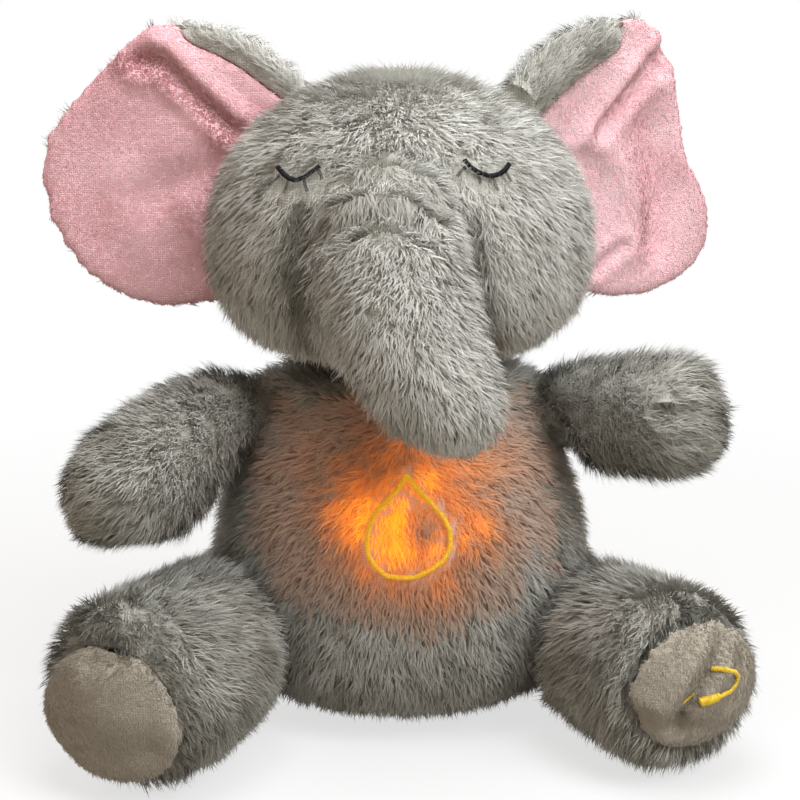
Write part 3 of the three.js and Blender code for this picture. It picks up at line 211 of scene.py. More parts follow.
# Crimped acrylic fibre, brushed out after knitting: a dry sheen, dark at the root where no light gets in.
# The lower half of the tones is unlit fur, its darkest end painted shade for creases and forms in shade; the
# upper half is fur with the lamp behind it.
grey_pile = pile_material(
    "long pile acrylic fur, grey",
    [(0.0, "#77756B"), (0.14, "#BDBCB3"), (0.495, "#E0DFD8"),
     (0.505, "#B9AC9F"), (0.7, "#D0936C"), (1.0, "#F09A3C")],
    [(0.0, "#8A887D"), (0.14, "#CBCAC2"), (0.495, "#EFEEE9"),
     (0.505, "#C8BBAF"), (0.7, "#E0A882"), (1.0, "#FFB860")],
    [(0.52, "#000000"), (0.64, "#2E1606"), (0.82, "#AC5808"), (1.0, "#FF9C08")],
    Roughness=0.8, Specular_IOR_Level=0.12, Sheen_Weight=0.15, Sheen_Roughness=0.5,
)
# Sheared velour: fibres stand close and short, so it looks soft and matt, pale at grazing angles. Its darker
# tones are painted shade, towards the roots and along the pad's folds.
sole_pile = pile_material(
    "sheared velour, grey",
    [(0.0, "#665F54"), (0.2, "#A79F90"), (0.485, "#C0B8A9")],
    [(0.0, "#766F62"), (0.2, "#BAB2A2"), (0.485, "#D3CBBC")],
    Roughness=0.75, Specular_IOR_Level=0.2, Sheen_Weight=0.35, Sheen_Roughness=0.4,
)
# The same fibre in pink, shorter and laid flatter: an even bloom, with painted shade darker towards the roots
# and where a fold turns away.
ear_pile = pile_material(
    "sheared velour, pink",
    [(0.0, "#B06A6C"), (0.25, "#F0BAC0"), (0.485, "#FFD9DE")],
    [(0.0, "#C48082"), (0.25, "#F9CCD2"), (0.485, "#FFE9EC")],
    Roughness=0.75, Specular_IOR_Level=0.2, Sheen_Weight=0.4, Sheen_Roughness=0.4,
)
# Knitted polyester the fur is tufted through: matt, a ladder of loops, seen only where the fur parts.
fur_backing = cloth_material("knitted fur backing, grey", "#B5B3A9", "#C9C7BE", 0.9)
# The same cloth over the lamp: it glows through, strongest in the middle of the drop.
lit_backing = cloth_material(
    "knitted fur backing, grey, lamp behind it", "#B5A99C", "#C9BBAE", 0.9, lamp_behind=True
)
# Finer knit under the grey velour, near its own colour, so parted pile doesn't show as specks.
sole_backing = cloth_material("knitted velour backing, grey", "#A39B8C", "#B5AD9E", 0.8)
# The same knit in pink: even and matt under the ears' short pile.
ear_backing = cloth_material("knitted velour backing, pink", "#F0B9C0", "#F9CBD1", 0.8)
# Polyester lining, plain weave: flat and dull, its threads drawn coarser than real ones.
pocket_cloth = cloth_material("plain woven lining cloth, grey", "#57564F", "#7C7B74", 0.7, 0.85)
# Woven polyester tape: tight ribs across it, drawn coarser than real ones, and a slight shine.
tape_cloth = cloth_material("woven zip tape, grey", "#605F58", "#85847C", 0.6, 0.75)
# Rayon embroidery thread: smooth bright filament, so each thread carries its own streak of light.
gold_thread = thread_material("gold", "#DDAA00", "#FFE534", 0.35, Sheen_Weight=0.3)
# The same thread round the drop, warmer where the lamp reaches it.
lit_gold_thread = thread_material(
    "gold, lamp behind it", "#DDAA00", "#FFE534", 0.35, Sheen_Weight=0.3,
    Emission_Color=linear("#FFB000"), Emission_Strength=0.22,
)
# The same thread in black: dark, with a thin streak of light along each thread.
black_thread = thread_material("black", "#050506", "#16161A", 0.45, Specular_IOR_Level=0.2)
MATERIAL_OF_SLOT = {
    # Injection moulded case: off white, half matt from a fine spark-eroded texture
    "shell_plastic": grained_material("moulded ABS, off white", "#E2E0D6", "#EFEDE5", 0.45),
    # Translucent dome lit from behind by the LEDs: warm and even, with a soft shine
    "amber_dome": grained_material(
        "moulded diffusing acrylic, amber", "#FFA63E", "#FFC078", 0.3, Emission_Color=linear("#FF8A14"),
        Emission_Strength=1.0,
    ),
    # Green solder mask over a glass weave: deep colour, half glossy
    "circuit_board": grained_material("solder mask on glass laminate, green", "#17582F", "#237243", 0.4),
    # Clear amber epoxy over a lit die: glassy and bright
    "led_lens": grained_material(
        "cast epoxy lens, amber", "#FFC562", "#FFD88E", 0.15, Emission_Color=linear("#FF9A2A"),
        Emission_Strength=1.0,
    ),
    # Nickel over steel: bright, slightly warm metal with a brushed grain
    "plated_steel": grained_material("nickel plated steel", "#B9BABC", "#D2D3D5", 0.3, 0.3, Metallic=1.0),
    # Zinc plated magnet cup: dull dark metal
    "magnet_steel": grained_material("zinc plated magnet steel", "#4A4D51", "#676A6E", 0.4, Metallic=1.0),
    # Pressed paper pulp: black, fibrous and quite matt
    "speaker_cone": grained_material("pressed paper cone, black", "#1F1F21", "#353538", 0.85, 0.25, 0.4),
    # Printed shrink jacket over steel: saturated and glossy
    "cell_jacket": grained_material("printed steel cell jacket, blue", "#285F9E", "#3878BF", 0.32),
    # Moulded nylon: black with a low satin shine on its edges
    "black_plastic": grained_material("moulded nylon, black", "#141416", "#242426", 0.5),
    # Soft extruded silicone: charcoal, with a broad dull shine
    "lead_jacket": grained_material("extruded silicone lead jacket, black", "#2E2E30", "#444447", 0.6),
    "gold_thread": gold_thread,
    "black_thread": black_thread,
    "pocket_cloth": pocket_cloth,
    "zip_tape_cloth": tape_cloth,
}


# Stuffed forms: each one's skin comes from its cover and its stuffing together

FORMS = {
    name: {"nodes": (f"{name}_cover", f"{name}_stuffing"), "body": name}
    for name in ("torso", "head", "trunk", "arm_right", "arm_left", "leg_right", "leg_left")
}
for kind, limb, own in (
    ("ear_back", "ear", {"depth": 2.4, "length": 0.8}),
    ("ear_front", "ear", {"cloth": "ear"}),
    ("sole_pad", "leg", {"cloth": "sole"}),
):
    for side in ("right", "left"):
        name = f"{kind}_{side}"
        FORMS[name] = {"nodes": (name,), "body": f"{limb}_{side}", "thin": True, **own}
FORMS["tail"] = {"nodes": ("tail",), "body": "tail", "thin": True, "depth": 1.6, "length": 0.75}


def link(name, mesh):
    piece = bpy.data.objects.new(name, mesh)
    scene.collection.objects.link(piece)
    return piece


def evaluated_mesh(piece):
    depsgraph = bpy.context.evaluated_depsgraph_get()
    mesh = bpy.data.meshes.new_from_object(piece.evaluated_get(depsgraph), depsgraph=depsgraph)
    bpy.data.objects.remove(piece)
    return mesh


# The zip lies on an arc about a line across the body. Its places and radii are in mm, its angles in degrees
ZIP_AXIS, ZIP_ANGLES, TAPE_OUTER, TAPE_HALF = (-53.5, 52.0), (-2.0, 25.0), 108.0, 8.0


def on_zip(x, angle, radius):
    turn = math.radians(angle)
    return Vector((x, ZIP_AXIS[0] + radius * math.cos(turn), ZIP_AXIS[1] + radius * math.sin(turn))) * MM


def from_zip(places):
    """How far places are outside the zip tape's edge, and how far from the zip's axis."""
    back, up = places[:, 1] - ZIP_AXIS[0] * MM, places[:, 2] - ZIP_AXIS[1] * MM
    angle = np.degrees(np.arctan2(up, back))
    beyond = np.maximum(np.maximum(ZIP_ANGLES[0] - angle, angle - ZIP_ANGLES[1]), 0)
    aside = np.maximum(np.abs(places[:, 0]) - TAPE_HALF * MM, 0)
    return np.hypot(np.radians(beyond) * TAPE_OUTER * MM, aside), np.hypot(back, up)


def zip_band(shape, left, right, inner, outer, steps, past=0.0):
    """A closed band along the zip, added to a bmesh."""
    low, high = ZIP_ANGLES[0] - past, ZIP_ANGLES[1] + past
    rings = []
    for step in range(steps + 1):
        angle = low + (high - low) * step / steps
        corners = ((left, inner), (right, inner), (right, outer), (left, outer))
        rings.append([shape.verts.new(on_zip(x, angle, radius)) for x, radius in corners])
    for near, far in zip(rings, rings[1:]):
        for side in range(4):
            shape.faces.new((near[side], near[(side + 1) % 4], far[(side + 1) % 4], far[side]))
    shape.faces.new(rings[0])
    shape.faces.new(rings[-1][::-1])


def outside_of(mesh):
    """The mesh without what lies shut up inside it."""
    shape = bmesh.new()
    shape.from_mesh(mesh)
    left, islands = set(shape.verts), []
    while left:
        island, edge = set(), [left.pop()]
        while edge:
            vertex = edge.pop()
            island.add(vertex)
            for other in (e.other_vert(vertex) for e in vertex.link_edges):
                if other in left:
                    left.remove(other)
                    edge.append(other)
        islands.append(island)
    outer = max(islands, key=len)
    bmesh.ops.delete(shape, geom=[v for v in shape.verts if v not in outer], context="VERTS")
    shape.to_mesh(mesh)
    shape.free()
    return mesh


# Hollows for the balls of joints, which a skin of cloth goes straight over: centre and radius in mm
FILLED = {
    "torso": [
        ((-49, -6, 109.5), 14), ((49, -6, 109.5), 14), ((-58, -8, 35), 23), ((58, -8, 33.5), 23),
        ((0, -8, 112), 20),
    ],
    "head": [((-3, -50, 180), 25)],
}
# The middle and the size of the module's room, in mm
ROOM_MIDDLE, ROOM_SIZE = (0, 1.5, 71.5), (68, 85, 55)


def as_mesh(shape, name, turned_out=False):
    """A bmesh as a mesh. Turned out, all its faces face away from the inside."""
    if turned_out:
        bmesh.ops.recalc_face_normals(shape, faces=shape.faces)
    mesh = bpy.data.meshes.new(name)
    shape.to_mesh(mesh)
    shape.free()
    return mesh


def joined_nodes(nodes, balls=(), back_closed=False):
    """The nodes as one mesh, with balls in it. A closed back goes over the module and the zip's slot."""
    shape = bmesh.new()
    for node in nodes:
        shape.from_mesh(frame["nodes"][node].data)
    for centre, radius in balls:
        ball = bmesh.ops.create_uvsphere(shape, u_segments=24, v_segments=16, radius=radius * MM)["verts"]
        bmesh.ops.translate(shape, verts=ball, vec=Vector(centre) * MM)
    if back_closed:
        for vertex in bmesh.ops.create_cube(shape, size=1.0)["verts"]:
            vertex.co = Vector([m + c * s for m, c, s in zip(ROOM_MIDDLE, vertex.co, ROOM_SIZE)]) * MM
        zip_band(shape, -9.5, 9.5, 85.0, 106.4, 14, past=1.2)
    bmesh.ops.remove_doubles(shape, verts=shape.verts, dist=0.01 * MM)
    return as_mesh(shape, "stuffed")


def read(collection, name):
    values = np.empty(len(collection) * 3, np.float32)
    collection.foreach_get(name, values)
    return values.reshape(-1, 3).astype(float)


def move_to(mesh, places):
    mesh.vertices.foreach_set("co", places.astype(np.float32).ravel())
    mesh.update()


def tree_of(mesh):
    return BVHTree.FromPolygons([v.co for v in mesh.vertices], [p.vertices for p in mesh.polygons])


def seen_on(form, across, down):
    """Where a form lies under a place in the picture, counted in pixels."""
    half = FRAME_PIXELS / 2
    ray = Vector((across - half, half - down, -FOCAL_LENGTH / FILM_WIDTH * FRAME_PIXELS))
    ray.rotate(CAMERA_TURN)
    return form["tree"].ray_cast(CAMERA_PLACE, ray.normalized())[0]


def on_cloth(form, pixels):
    return [point for point in (seen_on(form, *pixel) for pixel in pixels) if point]


def smoothstep(values, low, high):
    t = np.clip((values - low) / (high - low), 0, 1)
    return t * t * (3 - 2 * t)


def distance_to_line(places, line):
    nearest = np.full(len(places), np.inf)
    for start, end in zip(line, line[1:]):
        start, along = np.array(start), np.array(end) - np.array(start)
        t = np.clip((places - start) @ along / max(along @ along, 1e-12), 0, 1)
        nearest = np.minimum(nearest, np.linalg.norm(places - start - t[:, None] * along, axis=1))
    return nearest


# Folds in the cloth, as seen from the front: line, depth and half width in mm. Below nought it stands proud.
FOLDS = {
    "head": [
        ([(297, 222), (293, 262), (297, 305), (309, 350)], 1.8, 3.2),
        ([(474, 222), (472, 262), (480, 300), (494, 345)], 1.8, 3.2),
    ],
    "trunk": [
        ([(318, 204), (345, 183), (388, 176), (424, 186), (440, 205)], 3.8, 3.2),
        ([(326, 240), (350, 221), (384, 209), (412, 218), (425, 229)], 3.2, 3.4),
        ([(322, 356), (350, 382), (384, 421)], 2.6, 2.6),
        ([(440, 166), (392, 158), (345, 164), (318, 188)], -2.4, 4.5),
    ],
    "ear_front_right": [
        ([(152, 32), (205, 86), (236, 118)], -2.2, 4.2),
        ([(140, 62), (163, 60), (186, 84), (236, 129)], 3.2, 3.0),
        ([(112, 57), (127, 69)], 2.4, 1.8),
        ([(144, 198), (170, 184), (206, 172)], 1.4, 6.0),
        ([(190, 205), (200, 240)], -1.6, 6.0),
        ([(120, 180), (150, 255)], -1.2, 9.0),
    ],
    "ear_front_left": [
        ([(654, 25), (633, 63), (604, 109), (574, 146)], -1.6, 3.2),
        ([(664, 52), (646, 75), (629, 94), (598, 130)], 2.4, 2.8),
        ([(652, 62), (664, 72)], 1.2, 2.6),
        ([(676, 160), (694, 172)], 1.5, 3.0),
        ([(590, 138), (620, 165), (634, 205), (637, 250)], -2.4, 6.0),
        ([(655, 130), (660, 190), (652, 240)], 2.0, 7.0),
        ([(596, 269), (622, 246)], 2.0, 2.0),
    ],
    "sole_pad_left": [
        ([(727, 632), (711, 668), (697, 691), (682, 712), (676, 728)], 3.0, 2.4),
        ([(737, 650), (741, 672), (733, 700)], 1.4, 2.4),
        ([(700, 650), (678, 684), (660, 706)], -2.6, 5.5),
        ([(640, 716), (664, 728), (700, 728)], 1.2, 3.0),
    ],
    "sole_pad_right": [
        ([(60, 742), (95, 752), (150, 752)], 1.4, 4.5),
        ([(60, 650), (90, 662), (120, 655)], 1.6, 3.5),
    ],
    "leg_left": [([(690, 593), (698, 611), (716, 623)], 3.6, 2.8)],
    "arm_left": [([(656, 418), (690, 416), (722, 417)], 2.6, 2.2)],
    "arm_right": [([(118, 540), (150, 552), (176, 545)], 1.6, 3.0)],
}

for name, form in FORMS.items():
    raw = link(f"{name}_raw", joined_nodes(form["nodes"], FILLED.get(name, ()), name == "torso"))
    if form.get("cloth") == "ear":
        # An ear's velour is turned in at a round rim, so its thin edge is found first and then filled out
        steps = [(0.8, 6, 1.1), (1.2, 24, 0.0)]
    else:
        steps = [(1.5, 14, 0.0)] if form.get("thin") else [(4.0, 2, 0.0)]
    for voxel, easing, rim_width in steps:
        remesh = raw.modifiers.new("Skin", "REMESH")
        remesh.mode = "VOXEL"
        remesh.voxel_size = voxel * MM
        ease = raw.modifiers.new("Ease", "SMOOTH")
        ease.factor, ease.iterations = 0.5, easing
        if rim_width:
            rim = raw.modifiers.new("Rim", "DISPLACE")
            rim.strength, rim.mid_level = rim_width * MM, 0
    form["skin"] = outside_of(evaluated_mesh(raw))

# Stuffing presses each cover out: cloth under air pressure, with no weight, from a slightly smaller shape
SMALLER, FURTHEST, PRESSING_FRAMES = 1.6 * MM, 2.4 * MM, 20
STUFFED = [form for form in FORMS.values() if not form.get("thin")]
for form in STUFFED:
    skin = form["skin"]
    move_to(skin, read(skin.vertices, "co") - SMALLER * read(skin.vertex_normals, "vector"))
    form["slack"] = read(skin.vertices, "co")
    form["cover"] = link("cover", skin)
    cover = form["cover"].modifiers.new("Cover", "CLOTH")
    cover.settings.use_pressure = True
    cover.settings.uniform_pressure_force = 4
    cover.settings.effector_weights.gravity = 0
    cover.point_cache.frame_start, cover.point_cache.frame_end = 1, PRESSING_FRAMES
for step in range(1, PRESSING_FRAMES + 1):
    scene.frame_set(step)
for form in STUFFED:
    skin = evaluated_mesh(form["cover"])
    pressed = read(skin.vertices, "co") - form["slack"]
    reach = np.linalg.norm(pressed, axis=1, keepdims=True)
    move_to(skin, form["slack"] + pressed * np.minimum(1, FURTHEST / np.maximum(reach, 1e-9)))
    fine = link("fine", skin)
    fine.modifiers.new("Fine", "SUBSURF").levels = 1
    form["skin"] = evaluated_mesh(fine)
scene.frame_set(1)


# Skins that are moved to how they hang and are sewn on


def swing_tip(places):
    """The trunk's tip swings to the toy's left."""
    low = smoothstep(0.150 - places[:, 2], 0.0, 0.045)
    places += np.stack([6.5 * MM * low, 0 * low, 0.2 * low * (0.015 - places[:, 0])], 1)


def sew_ear_in(places):
    """An ear's inner edge is sewn in under the head's fur."""
    inner = 1 - smoothstep(np.abs(places[:, 0]), 62 * MM, 84 * MM)
    places[:, 0] -= np.sign(places[:, 0]) * 7 * MM * inner


def droop(places):
    """The toy's left ear droops outwards at its foot."""
    low = smoothstep(0.235 - places[:, 2], 0.0, 0.07)
    places[:, 0] += 3 * MM * smoothstep(places[:, 0], 0.06, 0.112) * low


def sew_tail_in(places):
    """The tail is sewn into the torso at its root."""
    from_root = np.linalg.norm(places - np.array((0, 0.0505, 0.026)), axis=1)
    places[:, 1] -= 5 * MM * (1 - smoothstep(from_root, 2 * MM, 9 * MM))


RIGHT_EAR, LEFT_EAR = ("ear_front_right", "ear_back_right"), ("ear_front_left", "ear_back_left")
for names, change in (
    (("trunk",), swing_tip), (RIGHT_EAR + LEFT_EAR, sew_ear_in), (LEFT_EAR, droop), (("tail",), sew_tail_in),
):
    for name in names:
        skin = FORMS[name]["skin"]
        places = read(skin.vertices, "co")
        change(places)
        move_to(skin, places)

# A sole pad is pressed out round in its middle, and wider than it is high:
# its middle in mm, the way it faces, and its growth along each axis
PADS = {
    "sole_pad_right": ((-94.75, -105.9, 29), (-0.36, -0.93, 0.0), (0.09, 0.09, 0.0)),
    "sole_pad_left": ((98, -92, 37.5), (0.43, -0.9, 0.04), (0.02, 0.02, -0.08)),
}
PAD_RADIUS, PAD_BULGE = 25 * MM, 5.5 * MM
for name, (middle, face, growth) in PADS.items():
    skin = FORMS[name]["skin"]
    places = read(skin.vertices, "co")
    from_middle = places - np.array(middle) * MM
    along = np.array(face) / np.linalg.norm(face)
    out = from_middle - (from_middle @ along)[:, None] * along
    share = np.linalg.norm(out, axis=1) / PAD_RADIUS
    places += along * (PAD_BULGE * np.clip(1 - share**2, 0, 1))[:, None] + out * np.array(growth)
    move_to(skin, places)

for name, form in FORMS.items():
    skin = form["skin"]
    skin.materials.clear()
    skin.polygons.foreach_set("use_smooth", [True] * len(skin.polygons))
    form["tree"] = tree_of(skin)
    places, outward = read(skin.vertices, "co"), read(skin.vertex_normals, "vector")
    for line, depth, width in FOLDS.get(name, []):
        gap = distance_to_line(places, on_cloth(form, line)) / (width * MM)
        swell = 0.35 * np.exp(-((gap - 2.3) / 1.1) ** 2) if depth > 0 else 0.0
        places += outward * (depth * MM * (swell - np.exp(-(gap**2))))[:, None]
    move_to(skin, places)
    form["tree"] = tree_of(skin)


# Embroidery, traced on the picture, in pixels

DROP = [
    (406, 475), (416, 488), (430, 502), (443, 517), (450, 531), (450, 547), (443, 561), (430, 570),
    (416, 577), (402, 578), (386, 576), (375, 566), (368, 554), (367, 542), (369, 528), (375, 514),
    (386, 502), (397, 491),
]
EYE_RIGHT = [
    [(279, 168), (284, 174), (290, 179), (297, 181), (305, 178), (313, 172), (320, 167)],
    [(281, 176), (276, 181), (270, 186)],
    [(290, 180), (288, 187), (285, 194)],
    [(305, 179), (306, 185), (308, 192)],
    [(319, 171), (322, 176), (324, 181)],
]
EYE_LEFT = [
    [(464, 161), (470, 168), (478, 173), (489, 177), (498, 175), (504, 171), (508, 165)],
    [(465, 168), (460, 172), (457, 177)],
    [(477, 175), (478, 179), (480, 184)],
    [(492, 177), (494, 184), (497, 191)],
    [(504, 172), (507, 177), (510, 182)],
]
# Between its tail and its hook the note is sunk in a fold of the pad
NOTE = [
    [(712, 669), (724, 670), (734, 672), (737, 676), (735, 684), (729, 691), (717, 697), (704, 701),
     (700, 702)],
    [(717, 697), (709, 700), (701, 702)],
    [(682, 702), (688, 697), (694, 694)],
]


# The lines on each form, and whether they are closed
STITCHED = {
    "torso": [(on_cloth(FORMS["torso"], DROP), True)],
    "head": [(on_cloth(FORMS["head"], line), False) for line in EYE_RIGHT + EYE_LEFT],
    "sole_pad_left": [(on_cloth(FORMS["sole_pad_left"], line), False) for line in NOTE],
}


# Pile: where it grows, how long it is and which way it is brushed


def eased(mesh, values, times):
    """Values at a mesh's points, each averaged with its neighbours'."""
    ends = np.empty(len(mesh.edges) * 2, np.int32)
    mesh.edges.foreach_get("vertices", ends)
    one, other = ends[::2], ends[1::2]
    neighbours = np.maximum(np.bincount(ends, minlength=len(values)), 1)[:, None]
    for _ in range(times):
        total = np.zeros_like(values)
        np.add.at(total, one, values[other])
        np.add.at(total, other, values[one])
        values = (values + total / neighbours) / 2
    return values


def slow_noise(places, size_mm, seed):
    """From about -1 to 1 on each axis, the same at places nearer than size_mm."""
    shift = Vector((seed, 2.3 * seed, 5.1))
    return np.array([noise.noise_vector(Vector(place) / (size_mm * MM) + shift) for place in places])


def unit(vectors):
    return vectors / np.maximum(np.linalg.norm(vectors, axis=1, keepdims=True), 1e-6)


# The way each form's pile is combed, and for some a point in mm that it is brushed away from, and how much
COMBED = {
    "torso": (0, 0, -0.55), "head": (0, 0, -0.3), "trunk": (0.12, 0, -0.8),
    "arm_right": (-0.75, -0.35, -0.5), "arm_left": (0.85, -0.3, -0.15),
    "leg_right": (0, -0.2, -0.8), "leg_left": (0, -0.2, -0.8),
    "ear_back_right": (-0.45, 0, 0.65), "ear_back_left": (0.45, 0, 0.65),
    "ear_front_right": (0.9, 0, -0.5), "ear_front_left": (-0.9, 0, -0.5),
    "sole_pad_right": (0.2, 0, -0.9), "sole_pad_left": (-0.2, 0, -0.9), "tail": (0, 0.7, -0.7),
}
BRUSHED_AWAY = {
    "torso": ((3, -40, 106), 1.0), "head": ((0, 25, 245), 0.9), "trunk": ((-2, -30, 230), 0.6),
    "leg_right": ((-95, -106, 29), 1.0), "leg_left": ((98, -92, 37), 1.0),
}


def lamp_glow(places, outward):
    """How much of the lamp's light comes out through the cloth, from 0 to 1."""
    x, z = places[:, 0] / MM - 3, places[:, 2] / MM - 79
    spread = 0.98 * np.exp(-(x**2 + z**2) / 18**2)
    spread += 0.42 * np.exp(-(x**2 + (1.25 * (z - 11)) ** 2) / 38**2)
    blotch = 0.78 + 0.75 * slow_noise(places, 15, 77.0)[:, 2] + 0.2 * slow_noise(places, 7, 78.0)[:, 0]
    patches = (-9, 0, 7, 0.6), (19, 4, 7, 0.35), (-20, 6, 8, 0.15), (3, 28, 12, 0.25)
    bright = sum(
        power * np.exp(-((x - across) ** 2 + (z - up) ** 2) / size**2)
        for across, up, size, power in patches
    )
    shut = 0.66 * np.exp(-((x - 5) ** 2 / 6.5**2 + (z + 2) ** 2 / 10**2))
    return np.clip(spread * blotch + bright - shut, 0, 1) * smoothstep(-outward[:, 1], 0.1, 0.5)


def store(mesh, name, values):
    kind, field = ("FLOAT_VECTOR", "vector") if np.ndim(values) == 2 else ("FLOAT", "value")
    layer = mesh.attributes.new(name, kind, "POINT")
    layer.data.foreach_set(field, values.astype(np.float32).ravel())


# How pale each form's pile is: painted light and shade, the same fur drawn paler on forms that light falls on
# and darker on forms in shade
PAINTED_LIGHT_OF_FORM = {
    "torso": 0.25, "head": 0.66, "trunk": 0.58, "arm_right": 0.2, "arm_left": 0.12,
    "leg_right": 0.06, "leg_left": 0.12, "ear_back_right": 0.6, "ear_back_left": 0.15,
    "ear_front_right": 0.6, "ear_front_left": 0.95, "sole_pad_right": 0.8, "sole_pad_left": 0.65,
    "tail": 0.5,
}
# Painted shade, darker along creases and where a form lies in shade: line in the picture, half width in mm,
# and how much
PAINTED_SHADE_LINES = {
    "head": [
        ([(300, 200), (318, 170), (350, 150), (400, 143), (440, 150), (466, 175)], 3.5, 0.25),
        ([(301, 215), (295, 262), (299, 305), (311, 350)], 4.0, 0.8),
        ([(288, 230), (284, 280), (292, 345)], 9.0, 0.3),
        ([(471, 222), (469, 262), (477, 300), (492, 345)], 4.0, 0.7),
        ([(484, 285), (494, 325), (504, 352)], 8.0, 0.35),
        ([(310, 360), (360, 395)], 6.0, 0.3),
    ],
    "trunk": [
        ([(318, 204), (345, 183), (388, 176), (424, 186), (446, 214)], 2.2, 0.35),
        ([(326, 240), (350, 221), (384, 209), (412, 218), (434, 240)], 2.2, 0.4),
        ([(330, 385), (378, 428), (440, 450)], 12.0, 0.55),
    ],
    "ear_front_right": [
        ([(120, 66), (142, 68), (168, 82), (200, 110), (226, 138)], 6.0, 0.55),
        ([(140, 52), (165, 62)], 5.0, 0.2),
        ([(150, 215), (185, 205), (204, 180)], 9.0, 0.14),
    ],
    "ear_front_left": [
        ([(664, 56), (640, 86), (612, 118)], 3.0, 0.35),
        ([(628, 104), (646, 150), (656, 200), (648, 245)], 8.0, 0.32),
        ([(674, 158), (688, 172)], 4.0, 0.4),
    ],
    "sole_pad_left": [([(712, 664), (698, 690), (684, 712)], 3.0, 0.5)],
    "sole_pad_right": [([(60, 640), (100, 632), (150, 645)], 4.0, 0.3)],
}
# What each kind of cloth is made of, and how thick it is on its form, in mm
BACKINGS = {"fur": fur_backing, "sole": sole_backing, "ear": ear_backing}
DEPTHS = {"fur": 3.2, "sole": 0.6, "ear": 0.4}


def follow(piece, name):
    """A form's cloth or pile moves with its body. An ear's stays where it stands and is not fastened to the
    ear's body.
    """
    body = FORMS[name]["body"]
    side = {"ear_right": -1, "ear_left": 1}.get(body)
    if side:
        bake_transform(piece)
    else:
        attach(piece, body)


for number, (name, form) in enumerate(FORMS.items()):
    mesh, kind = form["skin"], form.setdefault("cloth", "fur")
    places, outward = read(mesh.vertices, "co"), read(mesh.vertex_normals, "vector")
    own = (name, name.replace("ear_front", "ear_back"))
    others = [other["tree"] for key, other in FORMS.items() if key not in own]
    gap = np.array([min(tree.find_nearest(Vector(p), 0.02)[3] or 0.02 for tree in others) for p in places])
    free = smoothstep(gap, 0.1 * MM, 2.6 * MM)
    # Under a pad or another limb there is no fur. Head and trunk are one run of it
    growth = np.ones(len(places))
    if kind == "fur" and name not in ("head", "trunk"):
        growth = smoothstep(gap, 0.0, 0.12 * MM)
    if name.startswith("ear_back"):
        turned_forward = smoothstep(-outward[:, 1], 0.35, 0.7)
        growth *= smoothstep(gap, 1.3 * MM, 2.2 * MM)
        growth *= turned_forward + (1 - turned_forward) * smoothstep(gap, 2.2 * MM, 4.5 * MM)
    # The trunk's fur is short round the eyes too
    to_stitch = np.full(len(places), np.inf)
    for line, closed in STITCHED.get("head" if name == "trunk" else name, []):
        to_stitch = np.minimum(to_stitch, distance_to_line(places, line + line[:1] * closed))
    depth = form.get("depth", DEPTHS[kind]) * MM
    depth = depth * (0.1 + 0.9 * free) * (0.45 + 0.55 * smoothstep(to_stitch, 1.5 * MM, 7 * MM))
    # Round a sole pad the leg's fur stands forward over the pad's edge
    round_pad = np.zeros(len(places))
    if name.startswith("leg"):
        middle = np.array(PADS[name.replace("leg", "sole_pad")][0]) * MM
        round_pad = 1 - smoothstep(np.linalg.norm(places - middle, axis=1), 30 * MM, 44 * MM)
    trim = 0.4 + 0.6 * smoothstep(to_stitch, 1 * MM, 7 * MM) if kind == "fur" else np.ones(len(places))
    trim = trim * (0.3 + 0.7 * smoothstep(places[:, 2], 0.0, 8 * MM)) * form.get("length", 1.0)
    trim = trim * (0.55 + 0.45 * np.maximum(free, round_pad))
    if name == "torso":
        to_zip, _ = from_zip(places)
        growth *= smoothstep(to_zip, 0.8 * MM, 1.8 * MM)
        trim *= 0.5 + 0.5 * smoothstep(to_zip, 1 * MM, 8 * MM)
        depth *= smoothstep(to_zip, 1 * MM, 8 * MM)
    origin, away = BRUSHED_AWAY.get(name, ((0, 0, 0), 0.0))
    comb = np.array(COMBED[name])
    from_origin = places - np.array(origin) * MM
    from_origin[:, 1] *= 0.3
    swirl, ruffle = slow_noise(places, 24, number + 1.0), slow_noise(places, 8, number + 20.0)
    loose = 1.0 if kind == "fur" else 0.3
    lay = unit(from_origin) * away + comb + (swirl * 0.35 + ruffle * 0.2) * loose
    lay += round_pad[:, None] * np.array([0, -1.1, -0.3])
    if name.startswith("ear_back"):
        to_head = np.array([-np.sign(comb[0]), 0, -0.4])
        lay += (to_head - comb) * smoothstep(outward[:, 1:2], -0.2, 0.1)
    lay = unit(lay - outward * np.sum(lay * outward, 1, keepdims=True))
    if kind == "fur":
        tone = 0.25 * slow_noise(places, 12, number + 40.0)[:, 0]
        tone = tone + 0.15 * slow_noise(places, 4, number + 60.0)[:, 1]
    else:
        tone = 0.25 * slow_noise(places, 17, 7.0)[:, 0]
    # Painted light and shade: each form's pile starts from its own drawn paleness
    tone = PAINTED_LIGHT_OF_FORM[name] + tone
    # Painted shade: the pile's tone is darkened along each of these lines
    for line, width, darker in PAINTED_SHADE_LINES.get(name, []):
        tone -= darker * np.exp(-((distance_to_line(places, on_cloth(form, line)) / (width * MM)) ** 2))
    grown_by = {
        "outward": eased(mesh, outward, 5) if kind == "ear" else outward,
        "growth": growth, "trim": trim, "lay": lay, "tone": tone,
        "glow": lamp_glow(places, outward) if name == "torso" else np.zeros(len(places)),
    }
    for label, values in grown_by.items():
        store(mesh, label, values)
    places = places - outward * depth[:, None]
    if name == "torso":
        # Under the zip the cloth is sunk, so that the tape lies free
        to_zip, radius = from_zip(places)
        sunk = np.minimum(1, (106.5 * MM + 0.5 * to_zip) / radius)
        axis = np.array(ZIP_AXIS) * MM
        places[:, 1:] = axis + (places[:, 1:] - axis) * sunk[:, None]
    move_to(mesh, places)
    mesh.materials.append(lit_backing if name == "torso" else BACKINGS[kind])
    cloth = link(f"{name}_cloth", mesh.copy())
    for label in grown_by:
        cloth.data.attributes.remove(cloth.data.attributes[label])
    follow(cloth, name)
    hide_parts(*form["nodes"])


# A lock of pile, in its own axes: growing along Z, leaning to X. Its wisps' fibres meet towards their tips


